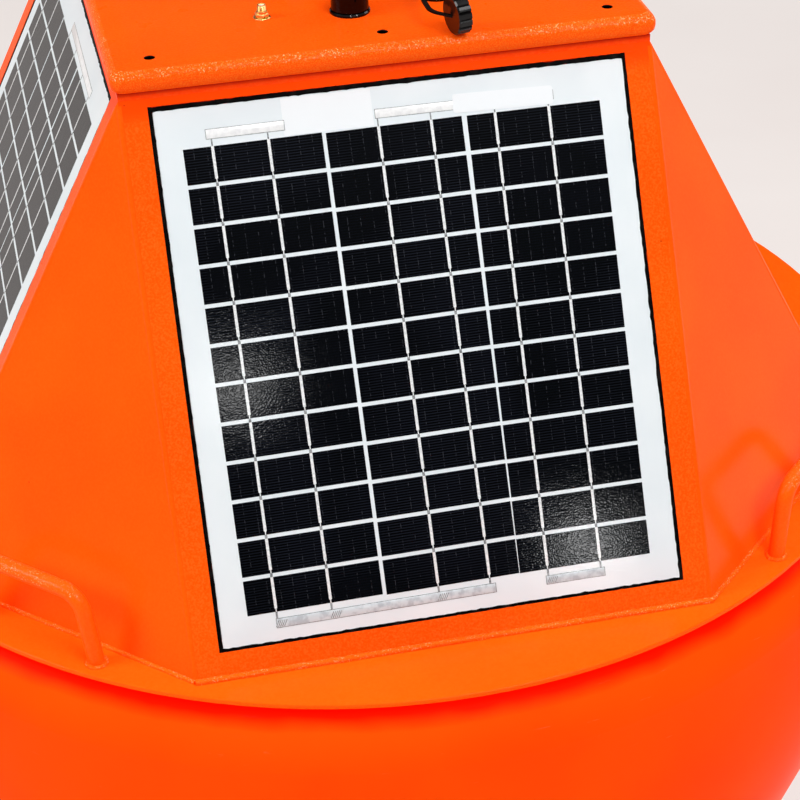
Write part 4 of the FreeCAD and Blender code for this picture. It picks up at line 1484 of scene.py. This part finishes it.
@dataclass
class Deck:
    """The round deck with its bent rod handles and their foot welds."""

    rod: float = 6 * MM
    half_span: float = 56 * MM
    height: float = 55 * MM
    splay: float = 9 * MM
    bend: float = 17 * MM
    below: float = 1.5 * MM
    throat: float = 1.8 * MM

    def build(self) -> None:
        """Dress the deck, bend the handles and ring each foot with a bead."""
        dress_nodes(DECK_PAINT, "deck_flange")
        places = []
        for index, corner in enumerate(CORNERS):
            low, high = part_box(f"deck_handle_{corner}")
            middle = (low + high) / 2
            places.append(shift(middle.x, middle.y, DECK_TOP) @ swing(45 + 90 * index))
        for corner, rod in zip(CORNERS, copies(self.handle(), places)):
            rod.name = f"handle_{corner}"
            present(rod, HANDLE_PAINT, Body.BUOY, 60, [f"deck_handle_{corner}"])
        feet = [place @ shift(self.half_span * side, 0) for place in places for side in (-1, 1)]
        rings = copies(ring_bead(self.rod, self.throat, (56, 12), 3 * MM, 1.4 * MM), feet)
        present(join("handle_foot_welds", rings), WELD_PAINT, Body.BUOY, 60)

    def handle(self) -> Piece:
        """Extrude and spin a ring along the handle, which stands along X.

        Returns:
            The handle.
        """
        tilt = math.atan2(self.splay, self.height)
        turn = math.pi / 2 - tilt
        reach = self.bend * math.tan(turn / 2)
        climb = Vector((math.sin(tilt), 0, math.cos(tilt)))
        foot = Vector((-self.half_span, 0, 0)) - climb * self.below
        corner = Vector((self.splay - self.half_span, 0, self.height))
        leg = (corner - foot).length - reach
        bar = -2 * corner.x - 2 * reach
        bend_starts = foot + climb * leg
        hubs = (bend_starts + Vector((math.cos(tilt), 0, -math.sin(tilt))) * self.bend,
                Vector((bar / 2, 0, self.height - self.bend)))
        let_go()
        bpy.ops.mesh.primitive_circle_add(vertices=24, radius=self.rod, location=foot, rotation=(0, tilt, 0))
        piece = added("handle")
        with editing(piece):
            drag(climb * leg)
            for hub, step in zip(hubs, ((bar, 0, 0), Vector((math.sin(tilt), 0, -math.cos(tilt))) * leg)):
                bpy.ops.mesh.spin(steps=12, angle=-turn, center=hub, axis=(0, 1, 0))
                drag(step)
            bpy.ops.mesh.select_all(action="SELECT")
            bpy.ops.mesh.remove_doubles(threshold=MM / 100)
            face_outwards()
            pick(piece, Pick.EDGE, lambda edge: edge.is_boundary)
            bpy.ops.mesh.edge_face_add()
        return piece


# ------------------------------------------------------------------ float, cage and sonde

@dataclass
class Underside:
    """The float and all that hangs below it, with its welds and bolts."""

    leg: float = 12.5 * MM
    leg_circle: float = 222 * MM
    throat: float = 2.4 * MM
    bolt_circle: float = 234 * MM
    bolt_count: int = 8
    bolt_flats: float = 19 * MM
    bolt_tall: float = 7.5 * MM
    washer: float = 12 * MM
    washer_thick: float = 2.5 * MM
    flange: float = 12 * MM
    screw_circle: float = 55 * MM
    screw_count: int = 6
    screw: float = 5 * MM
    chamfers: tuple[float, ...] = mm(0.8, 0.3, 0.5)

    def build(self) -> None:
        """Dress the float, the cage, the ballast and the sonde, and add welds and bolts."""
        dress_nodes(FLOAT_SKIN, "float_hull")
        dress_nodes(STEEL, "keel_plate", "cage_hoop", "cage_base_ring",
                    *[f"cage_leg_{corner}" for corner in CORNERS],
                    *[f"mooring_lug_{quarter}" for quarter in QUARTERS])
        dress_nodes(CAST_IRON, "ballast_ring")
        dress_nodes(SONDE_BLACK, *[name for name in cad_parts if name.startswith("sonde")])
        self.welds()
        self.bolts()

    def welds(self) -> None:
        """Ring each leg at both ends and run a bead along both sides of the lugs."""
        under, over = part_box("keel_plate")[0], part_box("cage_base_ring")[1]
        ends = [swing(45 + 90 * index) @ shift(self.leg_circle, 0, height)
                for index in range(4) for height in (over.z, under.z)]
        beads = copies(ring_bead(self.leg, self.throat, (64, 10), 4 * MM, 1.2 * MM), ends)
        low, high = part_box("mooring_lug_front")
        for index in range(4):
            for side in (low.x, high.x):
                seam = Weld(Vector((side, high.y, under.z)), Vector((side, under.y, under.z)), self.throat)
                beads.append(settle(seam.build(), swing(90 * index)))
        present(join("cage_welds", beads), STEEL, Body.BUOY, 60)

    def bolts(self) -> None:
        """Put bolts with washers under the keel plate and cap screws under the sonde's flange."""
        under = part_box("keel_plate")[0].z
        head_cut, washer_cut, screw_cut = self.chamfers
        point, thick = self.bolt_flats / math.sqrt(3), self.washer_thick
        foot = -self.bolt_tall - thick
        head = lathe("head", [(point, -thick), (point, foot + head_cut), (point * 0.9, foot)], 6)
        washer = lathe("washer", [(self.washer, 0), (self.washer, washer_cut - thick),
                                  (self.washer - washer_cut, -thick)], 40)
        wide, tall = self.screw, -1.2 * self.screw
        screw = lathe("screw", [(wide, 0), (wide, tall + screw_cut), (wide - screw_cut, tall),
                                (wide / 2, tall), (wide / 2, tall / 2)], 24)
        made = []
        for part, count, radius, height in (
                (join("bolt", [head, washer]), self.bolt_count, self.bolt_circle, under),
                (screw, self.screw_count, self.screw_circle, under - self.flange)):
            made += copies(part, [swing(360 * (index + 0.5) / count) @ shift(radius, 0, height)
                                  for index in range(count)])
        present(join("keel_bolts", made), BOLT_METAL, Body.BUOY, 30)


@dataclass
class Inside:
    """What shows inside when the lid is lifted."""

    def build(self) -> None:
        """Dress the gasket, the battery and the logger."""
        dress_nodes(RUBBER, "lid_gasket")
        dress_nodes(DARK_CASE, "battery_block")
        dress_nodes(GREY_CASE, "logger_case")


# ------------------------------------------------------------------ lid

@dataclass
class AntennaJack:
    """Gold-plated coaxial jack with a threaded barrel round a white insulator."""

    nut_flats: float = 9 * MM
    nut_height: float = 3.6 * MM
    washer: float = 6.2 * MM
    washer_thick: float = 0.9 * MM
    collar: float = 3.9 * MM
    collar_top: float = 5 * MM
    thread: float = 3.17 * MM
    root: float = 2.9 * MM
    pitch: float = 0.7 * MM
    top: float = 9.7 * MM
    bore: float = 2.3 * MM
    pin_bore: float = 0.7 * MM
    recess: float = 0.6 * MM

    def build(self) -> None:
        """Build nut, barrel, washer and insulator."""
        low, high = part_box("antenna_jack")
        seat = shift((low.x + high.x) / 2, (low.y + high.y) / 2, LID_HIGH.z)
        point, tall, thick = self.nut_flats / math.sqrt(3), self.nut_height, self.washer_thick
        nut = lathe("nut", [(point * share, height) for share, height in
                            ((0.97, 0), (1, 0.3 * MM), (1, tall - 0.5 * MM), (0.9, tall))], 6)
        washer = lathe("washer", [(self.washer, 0), (self.washer, thick - 0.3 * MM),
                                  (self.washer - 0.3 * MM, thick), (self.collar, thick)], 40)
        metal = join("jack_metal", [nut, self.barrel(), washer])
        present(settle(metal, seat), GOLD, Body.LID, 40, ["antenna_jack"])
        wide, face = self.bore * 0.98, self.top - self.recess
        core = lathe("jack_core", [(wide, self.collar_top), (wide, face), (self.pin_bore, face),
                                   (self.pin_bore, face - MM)], 24)
        present(settle(core, seat), INSULATOR, Body.LID)

    def barrel(self) -> Piece:
        """Turn the barrel with its collar and thread.

        Returns:
            The barrel.
        """
        height = self.collar_top + 0.6 * MM
        stations = [(self.collar, 0), (self.collar, self.collar_top), (self.root, height)]
        while height + self.pitch < self.top - 0.3 * MM:
            stations += [(self.thread, height + self.pitch * 0.4), (self.thread, height + self.pitch * 0.6),
                         (self.root, height + self.pitch)]
            height += self.pitch
        stations += [(self.root, self.top), (self.bore, self.top), (self.bore, self.collar_top)]
        return lathe("barrel", stations, 36)


@dataclass
class Lid:
    """The lift-off lid with its sockets, cap, strap and rivet nuts."""

    hole_across: float = 160 * MM
    hole_deep: float = 166 * MM
    hole: float = 4 * MM
    sheet: float = 2.5 * MM
    bend: float = 7.5 * MM
    bend_steps: int = 7
    corner: float = 8 * MM
    lip: tuple[tuple[float, ...], ...] = (mm(0, 5), mm(0.5, 2.2), mm(1.6, 0.4), mm(2.0, 0), mm(2.9, 0))
    nut_bore: float = 3.3 * MM
    nut_shank: float = 3.9 * MM
    nut_flange: float = 5.2 * MM
    nut_length: float = 10 * MM
    nut_floor: float = 0.5 * MM

    def build(self) -> None:
        """Dress the lid and build its fittings."""
        self.sheet_metal()
        dress_nodes(BLACK_PLASTIC, "sensor_socket_capped", "sensor_socket_open")
        dress_nodes(CAP_PLASTIC, "hanging_cap")
        dress_nodes(RUBBER, "cap_strap")
        self.rivet_nuts()
        AntennaJack().build()

    def holes(self, height: float) -> list[Matrix]:
        """Give the places of the screw holes at a height, front row first."""
        return [shift(across, deep, height) for deep in (-self.hole_deep, self.hole_deep)
                for across in (-self.hole_across, 0, self.hole_across)]

    def sheet_metal(self) -> None:
        """Raise a round-edged tray from its outline and drill its screw holes."""
        half, tall, bend = LID_HIGH.x, LID_HIGH.z - LID_LOW.z, self.bend
        turns = [math.pi / 2 * step / self.bend_steps for step in range(self.bend_steps + 1)]
        arc = [(half - bend + bend * math.sin(turn), -bend + bend * math.cos(turn)) for turn in turns]
        roll = [(half - inset, rise - tall) for inset, rise in self.lip]
        piece = lathe("lid_sheet", [*arc, *roll, (roll[-1][0], -self.sheet)], corner=self.corner)
        bore = lathe("bore", [(self.hole, MM), (self.hole, -2 * self.sheet)], 32)
        for drill in copies(bore, self.holes(0)):
            modify(piece, "BOOLEAN", object=drill, operation="DIFFERENCE", solver="EXACT")
            bpy.data.objects.remove(drill)
        present(settle(piece, shift(0, 0, LID_HIGH.z)), LID_PAINT, Body.LID, 30, ["lid"])

    def rivet_nuts(self) -> None:
        """Set a blind nut of blackened steel in each of the lid's screw holes."""
        inner, outer, flange, middle = self.nut_bore, self.nut_shank, self.nut_flange, self.nut_floor
        low, under = -self.nut_length, -self.sheet - 0.1 * MM
        nut = lathe("nut", [(middle, low), (inner, low), (inner, -0.6 * MM), (outer, -0.4 * MM),
                            (outer, under), (flange, under), (flange, low - MM), (middle, low - MM)], 32)
        present(join("lid_rivet_nuts", copies(nut, self.holes(LID_HIGH.z))), BLACK_PLASTIC, Body.LID)


@dataclass
class MarkerLight:
    """Marker light: black base, ribbed amber lens and the lamp column inside."""

    wall: float = 2.6 * MM
    ribs: int = 12
    ribbed_share: float = 0.72
    rib_start: float = 1.5 * MM
    rib_depth: float = 1.6 * MM
    dome_steps: int = 8
    tip: float = 2 * MM
    column: tuple[tuple[float, ...], ...] = (mm(30, 0.2), mm(30, 4), mm(12, 6), mm(10, 40), mm(16, 44),
                                             mm(16, 47), mm(6, 50))

    def build(self) -> None:
        """Build the hollow lens and the column, and dress the base."""
        dress_nodes(BLACK_PLASTIC, "marker_light_base")
        low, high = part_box("marker_light_lens")
        radius, tall = high.x, high.z - low.z
        rise = tall * self.ribbed_share / self.ribs
        outside = [(radius, 0)]
        for rib in range(self.ribs):
            outside += [(radius, rise * rib + self.rib_start),
                        (radius - self.rib_depth, rise * (rib + 0.5) + self.rib_start)]
        crown = rise * self.ribs + 2 * MM
        turns = [math.pi / 2 * step / self.dome_steps for step in range(1, self.dome_steps)]
        dome = [(radius, crown)] + [(radius * math.cos(turn) * 0.98, crown + (tall - crown) * math.sin(turn))
                                    for turn in turns]
        inside = [(max(wide - self.wall, MM), height - self.wall) for wide, height in reversed(dome)]
        inside.append((radius - self.wall - 2 * MM, 0))
        lens = lathe("amber_dome", [*outside, *dome, (self.tip, tall), *inside], 64, closed=False)
        seat = shift(0, 0, low.z)
        present(settle(lens, seat), AMBER, Body.LID, 30, ["marker_light_lens"])
        present(settle(lathe("lamp_column", self.column, 40), seat), LAMP_WHITE, Body.LID)


# ------------------------------------------------------------------ studio

@dataclass(frozen=True)
class Lamp:
    """A round lamp that faces the tower. The small ones only put glints on gloss."""

    name: str
    place: tuple[float, float, float]
    size: float
    power: float
    aim: float = 0.8
    glint: float = 0.5

    def hang(self) -> None:
        """Add the lamp to the studio."""
        let_go()
        bpy.ops.object.light_add(type="AREA", location=self.place)
        lamp = bpy.context.object
        lamp.name = self.name
        lamp.data.shape = "DISK"
        lamp.data.size = self.size
        lamp.data.energy = self.power
        lamp.visible_diffuse = self.size > self.glint
        way = Vector((0, 0, self.aim)) - Vector(self.place)
        lamp.rotation_euler = way.to_track_quat("-Z", "Y").to_euler()


LAMPS = (
    Lamp("key", (0.8, -2.0, 3.2), 1.8, 59),
    Lamp("side", (2.7, 0.4, 2.4), 1.4, 26),
    Lamp("fill", (-2.6, -0.2, 2.4), 1.4, 50),
    Lamp("glint_left", (-1.1, -1.4, 3.0), 0.1, 3),
    Lamp("glint_middle", (-0.1, -1.0, 3.2), 0.08, 2),
    Lamp("glint_right", (0.9, -0.9, 3.1), 0.08, 2),
    Lamp("glint_low_left", (-1.5, -2.3, 1.7), 0.08, 1),
    Lamp("glint_low_right", (1.9, -2.0, 1.7), 0.08, 1),
    Lamp("window_left", (0.14, -2.66, 1.82), 0.1, 0.3),
    Lamp("window_right", (0.75, -2.77, 1.45), 0.1, 0.45),
)


@dataclass
class Studio:
    """Floor, lamps, sky and camera. None of it belongs to the buoy."""

    floor_radius: float = 14
    backdrop: Colour = (225, 217, 213)
    mirror_heights: Band = (0.12, 0.24)
    glow_heights: Band = (0.42, 0.8)
    glow_values: Band = (0.02, 0.7)
    stand: tuple[float, float, float] = (-0.29187, -1.56944, 1.6327)
    azimuth: float = 11.95
    elevation: float = 32.21
    roll: float = 1.578
    lens: float = 101.25
    clip: Band = (0.05, 60)

    def build(self) -> None:
        """Set up everything that the buoy is seen with."""
        self.floor()
        self.sky()
        for lamp in LAMPS:
            lamp.hang()
        self.camera()
        bpy.context.scene.view_settings.view_transform = "Standard"

    def floor(self) -> None:
        """Lay a round pale floor."""
        let_go()
        bpy.ops.mesh.primitive_circle_add(vertices=64, radius=self.floor_radius, fill_type="NGON")
        ground = added("floor")
        ground.data.materials.append(FLOOR.material())

    def sky(self) -> None:
        """Light from above that fades towards the horizon, and a pale backdrop behind the floor."""
        world = bpy.data.worlds.new("studio_sky")
        bpy.context.scene.world = world
        world.use_nodes = True
        recipe = Recipe(world.node_tree, "ShaderNodeOutputWorld")
        glow, pale = (recipe.node("ShaderNodeBackground") for _ in range(2))
        recipe.feed(glow.inputs["Strength"], self.fade(recipe, self.glow_heights, self.glow_values))
        recipe.feed(pale.inputs["Color"], linear(*self.backdrop))
        looks = recipe.seen(self.fade(recipe, self.mirror_heights, (1, 0)))
        recipe.blend(looks, glow.outputs["Background"], pale.outputs["Background"])

    @staticmethod
    def fade(recipe: Recipe, heights: Band, values: Band) -> Socket:
        """Change a value smoothly with the height of the direction looked in.

        Args:
            recipe: The sky's tree.
            heights: Where the change starts and ends, 0 at the horizon and 1 overhead.
            values: The value below and above.

        Returns:
            The value.
        """
        made = recipe.node("ShaderNodeMapRange", interpolation_type="SMOOTHSTEP")
        recipe.feed(made.inputs["Value"], recipe.along("Z", Point.SKY))
        for key, value in zip(("From Min", "From Max", "To Min", "To Max"), (*heights, *values)):
            recipe.feed(made.inputs[key], value)
        return made.outputs["Result"]

    def camera(self) -> None:
        """Stand the camera to the left of the front and above it."""
        data = bpy.data.cameras.new("camera")
        data.lens = self.lens
        data.clip_start, data.clip_end = self.clip
        camera = bpy.data.objects.new("camera", data)
        bpy.context.scene.collection.objects.link(camera)
        tilt = Matrix.Rotation(math.radians(90 - self.elevation), 4, "X")
        camera.matrix_world = shift(*self.stand) @ swing(-self.azimuth) @ tilt @ swing(-self.roll)
        bpy.context.scene.camera = camera


def main() -> None:
    """Build the buoy's looks in order."""
    logging.basicConfig(level=logging.INFO, format="%(name)s %(message)s")
    let_go()
    panels = [SolarPanel(face) for face in FACES]
    for assembly in (Studio(), Underside(), Deck(), Tower(), *panels, Inside(), Lid(), MarkerLight()):
        assembly.build()


if __name__ == "__main__":
    main()
